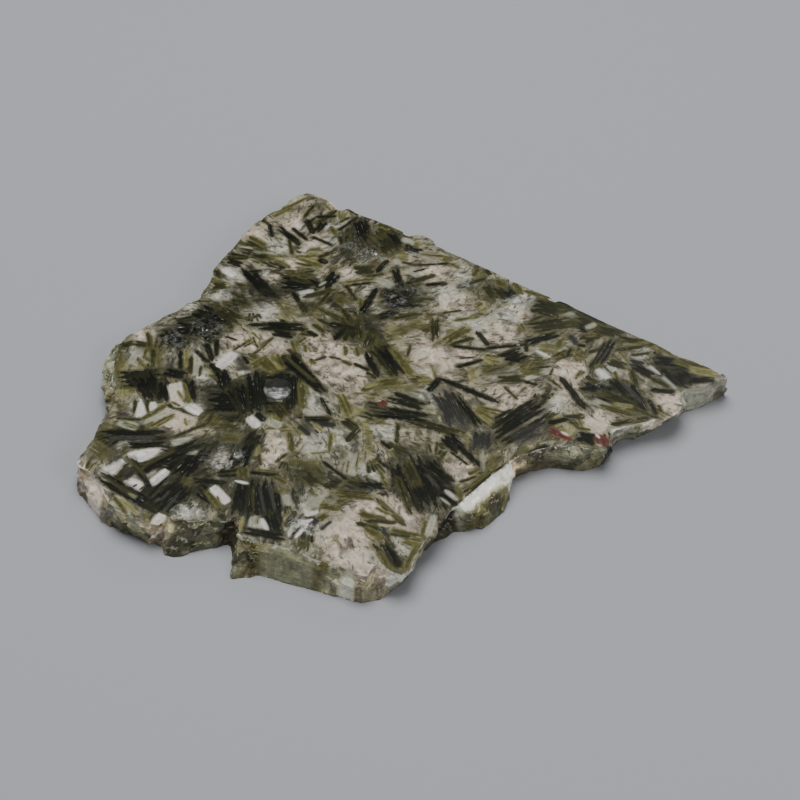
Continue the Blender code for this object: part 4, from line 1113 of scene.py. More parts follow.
def blade_group():
    tree = bpy.data.node_groups.new("mica_blade", "ShaderNodeTree")
    declare(tree, "INPUT", ("Place", "Vector"), ("Size", "Vector"), ("Below", "Color"), ("Gloss", "Float"))
    declare(tree, "OUTPUT", ("Colour", "Color"), ("Gloss", "Float"))
    given = add(tree, "NodeGroupInput", out=None)
    place = add(tree, "ShaderNodeSeparateXYZ", {0: given.outputs["Place"]}, out=None)
    size = add(tree, "ShaderNodeSeparateXYZ", {0: given.outputs["Size"]}, out=None)
    along, across, seed = place.outputs
    reach, half, look = size.outputs
    depth = add(tree, "ShaderNodeMath", {0: seed}, operation="FRACT")
    number = add(tree, "ShaderNodeMath", {0: seed}, operation="FLOOR")

    along_mm = add(tree, "ShaderNodeMath", {0: along, 1: reach}, operation="MULTIPLY")
    across_mm = add(tree, "ShaderNodeMath", {0: across, 1: half}, operation="MULTIPLY")
    grain_along = add(tree, "ShaderNodeMath", {0: along_mm, 1: 0.16}, operation="MULTIPLY")
    grain_across = add(tree, "ShaderNodeMath", {0: across_mm, 1: FIBRES_PER_MM}, operation="MULTIPLY")
    grain_at = add(tree, "ShaderNodeCombineXYZ", {0: grain_along, 1: grain_across, 2: seed})
    fibre = add(tree, "ShaderNodeTexNoise", {"Vector": grain_at, "Scale": 1.0, "Detail": 3.0})
    rag_at = add(tree, "ShaderNodeCombineXYZ", {0: along_mm, 1: across_mm, 2: seed})
    rag = add(tree, "ShaderNodeTexNoise", {"Vector": rag_at, "Scale": 0.7, "Detail": 3.0})

    # A wide blade is a sheaf of laths side by side. Each ends at its own length, in its own point
    count = add(tree, "ShaderNodeMath", {0: half, 1: 2 / LATH_WIDTH}, operation="MULTIPLY")
    count = add(tree, "ShaderNodeMath", {0: count}, operation="CEIL")
    lath_at = add(tree, "ShaderNodeMath", {0: across, 1: 0.5, 2: 0.5}, operation="MULTIPLY_ADD")
    lath_at = add(tree, "ShaderNodeMath", {0: lath_at, 1: count}, operation="MULTIPLY")
    lath = add(tree, "ShaderNodeMath", {0: lath_at}, operation="FLOOR")
    off_lath = add(tree, "ShaderNodeMath", {0: lath_at}, operation="FRACT")
    off_lath = add(tree, "ShaderNodeMath", {0: off_lath, 1: 0.5}, operation="SUBTRACT")
    off_lath = add(tree, "ShaderNodeMath", {0: off_lath}, operation="ABSOLUTE")
    which_end = add(tree, "ShaderNodeMath", {0: along}, operation="SIGN")
    end_key = add(tree, "ShaderNodeCombineXYZ", {0: lath, 1: which_end, 2: number})
    retreat = add(tree, "ShaderNodeTexWhiteNoise", {"Vector": end_key})
    lath_key = add(tree, "ShaderNodeCombineXYZ", {0: lath, 1: 7.0, 2: number})
    lath_shade = add(tree, "ShaderNodeTexWhiteNoise", {"Vector": lath_key})
    end = add(tree, "ShaderNodeMath", {0: along}, operation="ABSOLUTE")
    short = add(tree, "ShaderNodeMath", {0: 1.0, 1: end}, operation="SUBTRACT")
    from_tip = add(tree, "ShaderNodeMath", {0: retreat, 1: -LATH_RETREAT, 2: short}, operation="MULTIPLY_ADD")
    point = add(tree, "ShaderNodeMapRange", {"Value": from_tip, "From Max": POINT_SHARE, "To Max": 1.2})
    room = add(tree, "ShaderNodeMath", {0: point, 1: off_lath}, operation="SUBTRACT")
    lath_mm = add(tree, "ShaderNodeMath", {0: half, 1: count}, operation="DIVIDE")
    lath_mm = add(tree, "ShaderNodeMath", {0: lath_mm, 1: 2.0}, operation="MULTIPLY")
    room = add(tree, "ShaderNodeMath", {0: room, 1: lath_mm}, operation="MULTIPLY")
    off_window = add(
        tree, "ShaderNodeMath", {0: look, 1: (LOOKS["W"] + LOOKS["C"]) / 2}, operation="SUBTRACT",
    )
    off_window = add(tree, "ShaderNodeMath", {0: off_window}, operation="ABSOLUTE")
    blocky = add(tree, "ShaderNodeMath", {0: off_window, 1: 0.1}, operation="LESS_THAN")
    room = add(tree, "ShaderNodeMath", {0: blocky, 1: 10.0, 2: room}, operation="MULTIPLY_ADD")

    # Distance in from the long edges, in mm, less a ragged amount
    side = add(tree, "ShaderNodeMath", {0: across}, operation="ABSOLUTE")
    inward = add(tree, "ShaderNodeMath", {0: 1.0, 1: side}, operation="SUBTRACT")
    inward_mm = add(tree, "ShaderNodeMath", {0: inward, 1: half}, operation="MULTIPLY")
    rag_size = add(tree, "ShaderNodeMath", {0: half, 1: 0.16, 2: 0.14}, operation="MULTIPLY_ADD")
    ragged = add(tree, "ShaderNodeMapRange", {"Value": rag, "From Min": 0.33, "From Max": 0.67})
    bite = add(tree, "ShaderNodeMath", {0: ragged, 1: rag_size}, operation="MULTIPLY")
    from_side = add(tree, "ShaderNodeMath", {0: inward_mm, 1: room}, operation="MINIMUM")
    from_side = add(tree, "ShaderNodeMath", {0: from_side, 1: bite}, operation="SUBTRACT")
    softness = add(tree, "ShaderNodeMath", {0: depth, 1: half}, operation="MULTIPLY")
    blur = add(tree, "ShaderNodeMath", {0: softness, 1: 0.8, 2: 0.12}, operation="MULTIPLY_ADD")

    # Distance in from the ends, where single sheets stop short
    short_mm = add(tree, "ShaderNodeMath", {0: short, 1: reach}, operation="MULTIPLY")
    lost = add(
        tree, "ShaderNodeMapRange", {"Value": fibre, "From Min": 0.35, "From Max": 0.7, "To Max": 0.08},
    )
    lost_mm = add(tree, "ShaderNodeMath", {0: lost, 1: reach}, operation="MULTIPLY")
    from_end = add(tree, "ShaderNodeMath", {0: short_mm, 1: lost_mm}, operation="SUBTRACT")

    # The blade and the glow round it fade in over these distances, in mm
    side_mask, glow_side, end_mask, glow_end = [
        add(
            tree, "ShaderNodeMapRange", {"Value": distance, "From Min": start, "From Max": full},
            interpolation_type="SMOOTHSTEP",
        )
        for distance, start, full in (
            (from_side, -0.15, blur), (inward_mm, -GLOW, 0.1), (from_end, -0.1, 0.5), (short_mm, 0.0, 2.0),
        )
    ]
    shape = add(tree, "ShaderNodeMath", {0: side_mask, 1: end_mask}, operation="MULTIPLY")
    veil = add(tree, "ShaderNodeMath", {0: depth, 1: -0.55, 2: 1.0}, operation="MULTIPLY_ADD")
    opacity = add(tree, "ShaderNodeMath", {0: shape, 1: veil}, operation="MULTIPLY")
    glow = add(tree, "ShaderNodeMath", {0: glow_side, 1: glow_end}, operation="MULTIPLY")
    glow = add(tree, "ShaderNodeMath", {0: glow, 1: veil}, operation="MULTIPLY")
    glow = add(tree, "ShaderNodeMath", {0: glow, 1: 0.6}, operation="MULTIPLY")

    core, edge = [
        set_ramp(
            add(tree, "ShaderNodeValToRGB", {0: look}, out=None),
            [(LOOKS[row[0]], row[column]) for row in BLADE_COLOURS],
        )
        for column in (1, 2)
    ]
    thin, streak, tip = [
        add(
            tree, "ShaderNodeMapRange",
            {"Value": value, "From Min": start, "From Max": full, "To Min": least, "To Max": most},
            interpolation_type="SMOOTHSTEP",
        )
        for value, start, full, least, most in (
            (from_side, 0.0, 0.6, 0.85, 0.0), (fibre, 0.5, 0.78, 0.0, 0.4), (along, -0.1, 1.0, 0.0, 0.6),
        )
    ]
    lit = add(tree, "ShaderNodeMath", {0: thin, 1: streak}, operation="MAXIMUM")
    lit = add(tree, "ShaderNodeMath", {0: lit, 1: tip}, operation="MAXIMUM")
    flesh = add(tree, "ShaderNodeMix", {FACTOR: lit, FIRST: core, SECOND: edge}, MIXED, data_type="RGBA")
    cloud = add(
        tree, "ShaderNodeMapRange",
        {"Value": rag, "From Min": 0.3, "From Max": 0.7, "To Min": 0.7, "To Max": 1.1},
    )
    lath_shade = add(tree, "ShaderNodeMapRange", {"Value": lath_shade, "To Min": 0.85, "To Max": 1.2})
    cloud = add(tree, "ShaderNodeMath", {0: cloud, 1: lath_shade}, operation="MULTIPLY")
    flesh = add(tree, "ShaderNodeVectorMath", {0: flesh, "Scale": cloud}, operation="SCALE")

    # Painted highlight: a few sheets are painted pale silver, as if they lie so that they catch the light
    bright_sheet = add(tree, "ShaderNodeMapRange", {"Value": fibre, "From Min": 0.61, "From Max": 0.7})
    bright_part = add(
        tree, "ShaderNodeMapRange", {"Value": rag, "From Min": 0.52, "From Max": 0.62, "To Max": 0.6},
    )
    glint = add(tree, "ShaderNodeMath", {0: bright_sheet, 1: bright_part}, operation="MULTIPLY")
    flesh = add(
        tree, "ShaderNodeMix",
        {FACTOR: glint, FIRST: flesh, SECOND: linear("#BDBFB4")}, MIXED, data_type="RGBA",
    )
    painted = add(
        tree, "ShaderNodeMix",
        {FACTOR: glow, FIRST: given.outputs["Below"], SECOND: edge}, MIXED, data_type="RGBA",
    )
    painted = add(
        tree, "ShaderNodeMix", {FACTOR: opacity, FIRST: painted, SECOND: flesh}, MIXED, data_type="RGBA",
    )
    own_gloss = add(tree, "ShaderNodeMapRange", {"Value": fibre, "To Min": 0.16, "To Max": 0.36})
    gloss = add(tree, "ShaderNodeMix", {0: opacity, 2: given.outputs["Gloss"], 3: own_gloss})
    add(tree, "NodeGroupOutput", {"Colour": painted, "Gloss": gloss}, out=None)
    return tree


mica_blade = blade_group()
print("nodes in the blade group:", len(mica_blade.nodes))

# %% [markdown]
# ### The matrix
#
# Feldspar is cream to pink with brown specks, and quartz is grey and glassy. Both are cloudy.
# Splinters of mica too small to place by hand hang in them. A random pattern of cells holds one
# splinter in each cell, turned along the grain, and four such patterns of different sizes lie
# over each other.

# %% Node group for splinters too small to place
SPLINTER_COLOURS = (
    (0.0, "#191B14"), (0.35, "#2C2D1E"), (0.6, "#474732"),
    (0.8, "#68664F"), (0.93, "#919180"), (1.0, "#C4C5BC"),
)


def splinter_group():
    """Lays one splinter of mica in each cell of a random pattern, turned along the grain."""
    tree = bpy.data.node_groups.new("mica_splinters", "ShaderNodeTree")
    declare(
        tree, "INPUT", ("At", "Vector"), ("Shift", "Vector"), ("Grain", "Float"), ("Size", "Float"),
        ("Amount", "Float"), ("Below", "Color"),
    )
    declare(tree, "OUTPUT", ("Colour", "Color"))
    given = add(tree, "NodeGroupInput", out=None).outputs
    size = given["Size"]
    at = add(tree, "ShaderNodeVectorMath", {0: given["At"], 1: given["Shift"]}, operation="ADD")
    cells_per_mm = add(tree, "ShaderNodeMath", {0: 1.0, 1: size}, operation="DIVIDE")
    cell = add(tree, "ShaderNodeTexVoronoi", {"Vector": at, "Scale": cells_per_mm}, out=None).outputs
    chance = add(tree, "ShaderNodeSeparateXYZ", {0: cell["Color"]}, out=None).outputs
    offset = add(tree, "ShaderNodeVectorMath", {0: at, 1: cell["Position"]}, operation="SUBTRACT")
    stray = add(tree, "ShaderNodeMath", {0: chance[0], 1: -1.5, 2: 0.75}, operation="MULTIPLY_ADD")
    turn = add(tree, "ShaderNodeMath", {0: stray, 1: given["Grain"]}, operation="SUBTRACT")
    local = add(
        tree, "ShaderNodeVectorRotate", {"Vector": offset, "Axis": (0.0, 0.0, 1.0), "Angle": turn},
        rotation_type="AXIS_ANGLE",
    )
    along, across = add(tree, "ShaderNodeSeparateXYZ", {0: local}, out=None).outputs[:2]

    slimness = add(tree, "ShaderNodeMath", {0: chance[1], 1: 0.26, 2: 0.07}, operation="MULTIPLY_ADD")
    half = add(tree, "ShaderNodeMath", {0: slimness, 1: size}, operation="MULTIPLY")
    side = add(tree, "ShaderNodeMath", {0: across}, operation="ABSOLUTE")
    side = add(tree, "ShaderNodeMath", {0: side, 1: half}, operation="DIVIDE")
    end = add(tree, "ShaderNodeMath", {0: along}, operation="ABSOLUTE")
    end = add(tree, "ShaderNodeMath", {0: end, 1: size}, operation="DIVIDE")
    inside = add(
        tree, "ShaderNodeMapRange",
        {"Value": side, "From Min": 1.1, "From Max": 0.1}, interpolation_type="SMOOTHSTEP",
    )
    within = add(
        tree, "ShaderNodeMapRange",
        {"Value": end, "From Min": 0.9, "From Max": 0.25}, interpolation_type="SMOOTHSTEP",
    )
    there = add(tree, "ShaderNodeMath", {0: chance[2], 1: given["Amount"]}, operation="LESS_THAN")
    cover = add(tree, "ShaderNodeMath", {0: inside, 1: within}, operation="MULTIPLY")
    cover = add(tree, "ShaderNodeMath", {0: cover, 1: there}, operation="MULTIPLY")
    cover = add(tree, "ShaderNodeMath", {0: cover, 1: 0.8}, operation="MULTIPLY")

    fine_across = add(tree, "ShaderNodeMath", {0: across, 1: 3.0}, operation="MULTIPLY")
    fine_along = add(tree, "ShaderNodeMath", {0: along, 1: 0.3}, operation="MULTIPLY")
    fibre_at = add(tree, "ShaderNodeCombineXYZ", {0: fine_along, 1: fine_across, 2: chance[0]})
    fibre = add(tree, "ShaderNodeTexNoise", {"Vector": fibre_at, "Scale": 1.0, "Detail": 2.0})
    kind = add(tree, "ShaderNodeMath", {0: chance[1], 1: 5.0, 2: fibre}, operation="MULTIPLY_ADD")
    kind = add(tree, "ShaderNodeMath", {0: kind, 1: 1.0}, operation="PINGPONG")
    tint = set_ramp(add(tree, "ShaderNodeValToRGB", {0: kind}, out=None), SPLINTER_COLOURS)
    colour = add(
        tree, "ShaderNodeMix", {FACTOR: cover, FIRST: given["Below"], SECOND: tint}, MIXED, data_type="RGBA"
    )
    add(tree, "NodeGroupOutput", {"Colour": colour}, out=None)
    return tree


mica_splinters = splinter_group()

# %% Node group for the matrix
SPLINTER_LAYERS = (
    # cell size in mm, shift in mm
    (4.6, (31.0, 7.0, 3.0)), (3.2, (-13.0, 52.0, 11.0)),
    (2.2, (8.0, -29.0, 23.0)), (1.5, (-47.0, -5.0, 37.0)),
)


def matrix_group():
    tree = bpy.data.node_groups.new("feldspar_and_quartz", "ShaderNodeTree")
    declare(tree, "INPUT", ("At", "Vector"), ("Tone", "Color"), ("Grain", "Float"))
    declare(tree, "OUTPUT", ("Colour", "Color"), ("Gloss", "Float"))
    given = add(tree, "NodeGroupInput", out=None).outputs
    at = given["At"]
    mottle = add(tree, "ShaderNodeTexNoise", {"Vector": at, "Scale": 0.45, "Detail": 6.0, "Roughness": 0.62})
    shade = set_ramp(
        add(tree, "ShaderNodeValToRGB", {0: mottle}, out=None),
        ((0.28, "#66614F"), (0.5, "#BEBBB2"), (0.68, "#F0EEE8")),
    )
    colour = add(
        tree, "ShaderNodeMix", {FACTOR: 0.75, FIRST: given["Tone"], SECOND: shade}, MIXED,
        data_type="RGBA", blend_type="OVERLAY",
    )
    grit = add(tree, "ShaderNodeTexNoise", {"Vector": at, "Scale": 1.3, "Detail": 4.0})
    speck = add(
        tree, "ShaderNodeMapRange",
        {"Value": grit, "From Min": 0.56, "From Max": 0.7, "To Max": 0.6},
        interpolation_type="SMOOTHSTEP",
    )
    colour = add(
        tree, "ShaderNodeMix", {FACTOR: speck, FIRST: colour, SECOND: linear("#6F5C50")}, MIXED,
        data_type="RGBA",
    )

    # The darker the ground, the more splinters crowd in it
    brightness = add(tree, "ShaderNodeRGBToBW", {0: given["Tone"]})
    crowding = add(
        tree, "ShaderNodeMapRange",
        {"Value": brightness, "From Min": 0.1, "From Max": 0.6, "To Min": 0.95, "To Max": 0.02},
    )
    for size, shift in SPLINTER_LAYERS:
        colour = add(
            tree, "ShaderNodeGroup",
            {
                "At": at, "Shift": shift, "Grain": given["Grain"], "Size": size, "Amount": crowding,
                "Below": colour,
            },
            node_tree=mica_splinters,
        )
    gloss = add(tree, "ShaderNodeMapRange", {"Value": mottle, "To Min": 0.25, "To Max": 0.5})
    add(tree, "NodeGroupOutput", {"Colour": colour, "Gloss": gloss}, out=None)
    return tree


matrix = matrix_group()

# %% Helpers for the stone's finishes
def place_in_mm(tree):
    """The object's own coordinates in millimetres, so that every scale below is per millimetre."""
    here = add(tree, "ShaderNodeTexCoord", out=3)
    return add(tree, "ShaderNodeVectorMath", {0: here, "Scale": 1 / MM}, operation="SCALE")


def start_material(name):
    material = bpy.data.materials.new(name)
    material.use_nodes = True
    tree = material.node_tree
    return material, tree, tree.nodes["Principled BSDF"]


def paint_blades(tree, colour, gloss, layers):
    """Paints some of the remembered blades over a colour, deepest first."""
    for k in reversed(layers):
        place = add(tree, "ShaderNodeAttribute", out=1, attribute_name=f"place_{k}")
        size = add(tree, "ShaderNodeAttribute", out=1, attribute_name=f"size_{k}")
        layer = add(
            tree, "ShaderNodeGroup", {"Place": place, "Size": size, "Below": colour, "Gloss": gloss},
            out=None, node_tree=mica_blade,
        )
        colour, gloss = layer.outputs
    return colour, gloss


def veil(tree, at, colour):
    """Cloudy matrix over the crystals so far, and smoke where black mica crowds below the face."""
    tone = add(tree, "ShaderNodeAttribute", attribute_name="ground")
    milk = add(tree, "ShaderNodeTexNoise", {"Vector": at, "Scale": 0.17, "Detail": 5.0, "Distortion": 0.8})
    milky = add(
        tree, "ShaderNodeMapRange", {"Value": milk, "From Min": 0.5, "From Max": 0.72, "To Max": 0.5},
        interpolation_type="SMOOTHSTEP",
    )
    colour = add(tree, "ShaderNodeMix", {FACTOR: milky, FIRST: colour, SECOND: tone}, MIXED, data_type="RGBA")
    smoke = add(
        tree, "ShaderNodeMapRange", {"Value": milk, "From Min": 0.5, "From Max": 0.33, "To Max": 0.6},
        interpolation_type="SMOOTHSTEP",
    )
    return add(
        tree, "ShaderNodeMix",
        {FACTOR: smoke, FIRST: colour, SECOND: linear("#2C2D22")}, MIXED, data_type="RGBA",
    )


def ground_of(tree, at):
    """The matrix at a place, in the tone that the points carry."""
    tone = add(tree, "ShaderNodeAttribute", attribute_name="ground")
    grain = add(tree, "ShaderNodeAttribute", out=2, attribute_name="grain")
    ground = add(
        tree, "ShaderNodeGroup", {"At": at, "Tone": tone, "Grain": grain}, out=None, node_tree=matrix,
    )
    return ground.outputs


# %% [markdown]
# ### The polished face
#
# Light enters the polish before it returns, so sharp crystals lie over blurred ones. The three
# deeper layers of blades are painted first, then a veil of milk and smoke, then the two upper
# layers. Where sheets were torn out, thin bright creases, a painted highlight, wander over grey or
# silvery mica.

# %% Polished stone
def polished_stone():
    material, tree, shader = start_material("polished_mica_pegmatite")
    at = place_in_mm(tree)
    colour, gloss = paint_blades(tree, *ground_of(tree, at), range(2, LAYERS))
    colour, gloss = paint_blades(tree, veil(tree, at, colour), gloss, range(2))

    # Torn sheets of mica: smoky, with thin bright edges that wander like creased foil; the bright edges are a
    # painted highlight
    torn = add(tree, "ShaderNodeAttribute", out=2, attribute_name="plucked")
    patchy = add(tree, "ShaderNodeTexNoise", {"Vector": at, "Scale": 0.5, "Detail": 3.0})
    shown = add(tree, "ShaderNodeMath", {0: patchy, 1: torn}, operation="MULTIPLY")
    shown = add(
        tree, "ShaderNodeMapRange", {"Value": shown, "From Min": 0.25, "From Max": 0.6, "To Max": 0.8},
    )
    creased = add(tree, "ShaderNodeTexNoise", {"Vector": at, "Scale": 0.5, "Detail": 2.0, "Distortion": 1.2})
    tone = add(tree, "ShaderNodeAttribute", attribute_name="ground")
    brightness = add(tree, "ShaderNodeRGBToBW", {0: tone})
    silver = add(
        tree, "ShaderNodeMapRange", {"Value": brightness, "From Min": 0.2, "From Max": 0.6, "To Max": 0.3},
    )
    silver = add(tree, "ShaderNodeMath", {0: creased, 1: silver}, operation="ADD")
    smoky = set_ramp(
        add(tree, "ShaderNodeValToRGB", {0: silver}, out=None),
        ((0.35, "#1F201B"), (0.5, "#3B3C34"), (0.65, "#6A6C62"), (0.8, "#B4B5AC"), (0.95, "#E2E2DB")),
    )
    colour = add(
        tree, "ShaderNodeMix", {FACTOR: shown, FIRST: colour, SECOND: smoky}, MIXED, data_type="RGBA",
    )
    # Painted highlight: thin pale lines along the creases, broken up by noise
    off_crease = add(tree, "ShaderNodeMath", {0: creased, 1: 0.5}, operation="SUBTRACT")
    off_crease = add(tree, "ShaderNodeMath", {0: off_crease}, operation="ABSOLUTE")
    crease_highlight = add(tree, "ShaderNodeMapRange", {"Value": off_crease, "From Min": 0.016, "From Max": 0.005})
    broken_up = add(tree, "ShaderNodeTexNoise", {"Vector": at, "Scale": 0.7, "Detail": 2.0})
    broken_up = add(
        tree, "ShaderNodeMapRange", {"Value": broken_up, "From Min": 0.5, "From Max": 0.62, "To Max": 0.9},
    )
    crease_highlight = add(tree, "ShaderNodeMath", {0: crease_highlight, 1: broken_up}, operation="MULTIPLY")
    crease_highlight = add(tree, "ShaderNodeMath", {0: crease_highlight, 1: shown}, operation="MULTIPLY")
    colour = add(
        tree, "ShaderNodeMix",
        {FACTOR: crease_highlight, FIRST: colour, SECOND: linear("#D2D3CD")}, MIXED, data_type="RGBA",
    )

    fine = add(tree, "ShaderNodeTexNoise", {"Vector": at, "Scale": 2.2, "Detail": 4.0})
    relief = add(tree, "ShaderNodeBump", {"Height": fine, "Strength": 0.12, "Distance": 0.0002})
    tree.links.new(colour, shader.inputs["Base Color"])
    tree.links.new(gloss, shader.inputs["Roughness"])
    tree.links.new(relief, shader.inputs["Normal"])
    shader.inputs["Specular IOR Level"].default_value = 0.15
    return material


# %% [markdown]
# ### The broken wall
#
# Feldspar and mica break along flat cleavage faces. The smallest facets are only in the material:
# a random pattern of cells, each with its own tilt and shade, and thin white lines, a painted
# highlight, where some of them meet. Sheets of mica seen on edge draw level lines, and the whole
# sheets stay plain but are painted a little lighter, a painted sheen.

# %% Broken stone
def broken_stone():
    material, tree, shader = start_material("broken_mica_pegmatite")
    at = place_in_mm(tree)
    tone = add(tree, "ShaderNodeAttribute", attribute_name="ground")
    # The cast attribute also carries the painted highlight along the borders of the planes
    cast = add(tree, "ShaderNodeAttribute", out=1, attribute_name="cast")
    tone = add(tree, "ShaderNodeVectorMath", {0: tone, 1: cast}, operation="MULTIPLY")
    mottle = add(tree, "ShaderNodeTexNoise", {"Vector": at, "Scale": 0.4, "Detail": 6.0, "Roughness": 0.65})
    shade = set_ramp(
        add(tree, "ShaderNodeValToRGB", {0: mottle}, out=None),
        ((0.3, "#6F6B58"), (0.48, "#B8B6AA"), (0.68, "#EBE9E1")),
    )
    colour = add(
        tree, "ShaderNodeMix", {FACTOR: 0.7, FIRST: tone, SECOND: shade}, MIXED,
        data_type="RGBA", blend_type="OVERLAY",
    )

    # Cleavage: small flat facets, each with its own tilt and shade, but none on a whole sheet. A whole sheet
    # is painted a little lighter instead: a painted sheen
    whole = add(tree, "ShaderNodeAttribute", out=2, attribute_name="whole")
    shattered = add(
        tree, "ShaderNodeMapRange",
        {"Value": whole, "From Min": 0.3, "From Max": 0.42, "To Min": 1.0, "To Max": 0.0},
    )
    wander = add(tree, "ShaderNodeTexNoise", {"Vector": at, "Scale": 0.6, "Detail": 2.0}, out=1)
    warped = add(
        tree, "ShaderNodeVectorMath", {0: wander, 1: (1.6, 1.6, 1.6), 2: at}, operation="MULTIPLY_ADD",
    )
    rise = None
    for facet_size, slope, darkest, lightest in ((2.6, 0.9, 0.62, 1.3), (1.0, 0.7, 0.8, 1.2)):
        cells = add(tree, "ShaderNodeTexVoronoi", {"Vector": warped, "Scale": 1 / facet_size}, out=None)
        cell = cells.outputs
        offset = add(tree, "ShaderNodeVectorMath", {0: warped, 1: cell["Position"]}, operation="SUBTRACT")
        tilt = add(tree, "ShaderNodeVectorMath", {0: cell["Color"], 1: (0.5, 0.5, 0.5)}, operation="SUBTRACT")
        plane = add(tree, "ShaderNodeVectorMath", {0: offset, 1: tilt}, out=1, operation="DOT_PRODUCT")
        rise = add(
            tree, "ShaderNodeMath",
            {0: plane, 1: slope, 2: 0.0 if rise is None else rise}, operation="MULTIPLY_ADD",
        )
        shade = add(tree, "ShaderNodeSeparateXYZ", {0: cell["Color"]}, out=None).outputs[0]
        shade = add(tree, "ShaderNodeMapRange", {"Value": shade, "To Min": darkest, "To Max": lightest})
        # Painted sheen: a whole sheet gets 1.08 here in place of a facet's shade
        shade = add(tree, "ShaderNodeMix", {0: shattered, 2: 1.08, 3: shade})
        colour = add(tree, "ShaderNodeVectorMath", {0: colour, "Scale": shade}, operation="SCALE")

    # Painted highlight: thin white lines where facets meet, as if their crests catch the light
    border = add(
        tree, "ShaderNodeTexVoronoi", {"Vector": warped, "Scale": 1 / 2.6}, feature="DISTANCE_TO_EDGE"
    )
    crest_highlight = add(tree, "ShaderNodeMapRange", {"Value": border, "From Min": 0.06, "From Max": 0.01})
    catching = add(tree, "ShaderNodeTexNoise", {"Vector": at, "Scale": 0.55, "Detail": 2.0})
    catching = add(
        tree, "ShaderNodeMapRange", {"Value": catching, "From Min": 0.5, "From Max": 0.6, "To Max": 0.75},
    )
    crest_highlight = add(tree, "ShaderNodeMath", {0: crest_highlight, 1: catching}, operation="MULTIPLY")
    crest_highlight = add(tree, "ShaderNodeMath", {0: crest_highlight, 1: shattered}, operation="MULTIPLY")
    colour = add(
        tree, "ShaderNodeMix",
        {FACTOR: crest_highlight, FIRST: colour, SECOND: linear("#E6E5DB")}, MIXED, data_type="RGBA",
    )

    # Sheets on edge: long level lines, light and dark
    for turn, thickness, strength in ((0.12, 0.5, 0.25), (-0.3, 0.25, 0.2)):
        sheets_at = add(
            tree, "ShaderNodeMapping",
            {"Vector": at, "Rotation": (0.1, turn, 0.6), "Scale": (9.0, 7.0, thickness)},
            vector_type="TEXTURE",
        )
        sheets = add(tree, "ShaderNodeTexNoise", {"Vector": sheets_at, "Scale": 1.0, "Detail": 3.0})
        lines = set_ramp(
            add(tree, "ShaderNodeValToRGB", {0: sheets}, out=None),
            ((0.36, "#5C5A45"), (0.48, "#B2B1A3"), (0.62, "#E3E1D6")),
        )
        colour = add(
            tree, "ShaderNodeMix", {FACTOR: strength, FIRST: colour, SECOND: lines}, MIXED,
            data_type="RGBA", blend_type="OVERLAY",
        )

    # Darker olive towards the foot of the break: partly olive mica, partly painted shade near the table
    height = add(tree, "ShaderNodeSeparateXYZ", {0: at}, out=None).outputs[2]
    foot_noise = add(tree, "ShaderNodeTexNoise", {"Vector": at, "Scale": 0.25, "Detail": 4.0})
    foot_line = add(tree, "ShaderNodeMath", {0: foot_noise, 1: -9.0, 2: height}, operation="MULTIPLY_ADD")
    olive_and_shade_at_foot = add(
        tree, "ShaderNodeMapRange", {"Value": foot_line, "From Min": 0.4, "From Max": -1.4, "To Max": 0.6},
        interpolation_type="SMOOTHSTEP",
    )
    olive_and_shade_at_foot = add(tree, "ShaderNodeMath", {0: olive_and_shade_at_foot, 1: shattered}, operation="MULTIPLY")
    colour = add(
        tree, "ShaderNodeMix",
        {FACTOR: olive_and_shade_at_foot, FIRST: colour, SECOND: linear("#57553A")}, MIXED, data_type="RGBA",
    )

    # The polished edge is painted white: partly chips, partly a painted highlight along the edge
    chips_and_highlight_noise = add(tree, "ShaderNodeTexNoise", {"Vector": at, "Scale": 0.5, "Detail": 4.0})
    chips_and_highlight_depth = add(
        tree, "ShaderNodeMapRange", {"Value": chips_and_highlight_noise, "From Min": 0.42, "From Max": 0.66, "To Max": 1.1},
    )
    below_top = add(tree, "ShaderNodeMath", {0: TOP, 1: height}, operation="SUBTRACT")
    in_chips_and_highlight = add(tree, "ShaderNodeMath", {0: chips_and_highlight_depth, 1: below_top}, operation="SUBTRACT")
    white = add(
        tree, "ShaderNodeMapRange", {"Value": in_chips_and_highlight, "From Min": 0.0, "From Max": 0.4, "To Max": 0.6},
    )
    colour = add(
        tree, "ShaderNodeMix",
        {FACTOR: white, FIRST: colour, SECOND: linear("#D0D0C6")}, MIXED, data_type="RGBA",
    )
    fine = add(tree, "ShaderNodeTexNoise", {"Vector": at, "Scale": 1.2, "Detail": 4.0})
    rise = add(tree, "ShaderNodeMath", {0: fine, 1: 0.25, 2: rise}, operation="MULTIPLY_ADD")
    uneven = add(tree, "ShaderNodeMapRange", {"Value": shattered, "To Min": 0.15, "To Max": 0.7})
    relief = add(tree, "ShaderNodeBump", {"Height": rise, "Strength": uneven, "Distance": MM})
    tree.links.new(colour, shader.inputs["Base Color"])
    gloss = add(tree, "ShaderNodeAttribute", out=2, attribute_name="gloss")
    roughness = add(tree, "ShaderNodeMapRange", {"Value": gloss, "To Min": 0.6, "To Max": 0.2})
    tree.links.new(roughness, shader.inputs["Roughness"])
    tree.links.new(relief, shader.inputs["Normal"])
    return material


# %% [markdown]
# ### The underside and the pit
#
# The saw leaves the underside dull, so it takes the same blades without veil or gloss. The round
# pit is dark at the back, and the torn sheet on its floor shines a little like metal.

# %% Sawn stone
def sawn_stone():
    material, tree, shader = start_material("sawn_mica_pegmatite")
    at = place_in_mm(tree)
    colour, _ = paint_blades(tree, *ground_of(tree, at), range(LAYERS))
    tree.links.new(colour, shader.inputs["Base Color"])
    shader.inputs["Roughness"].default_value = 0.75
    return material


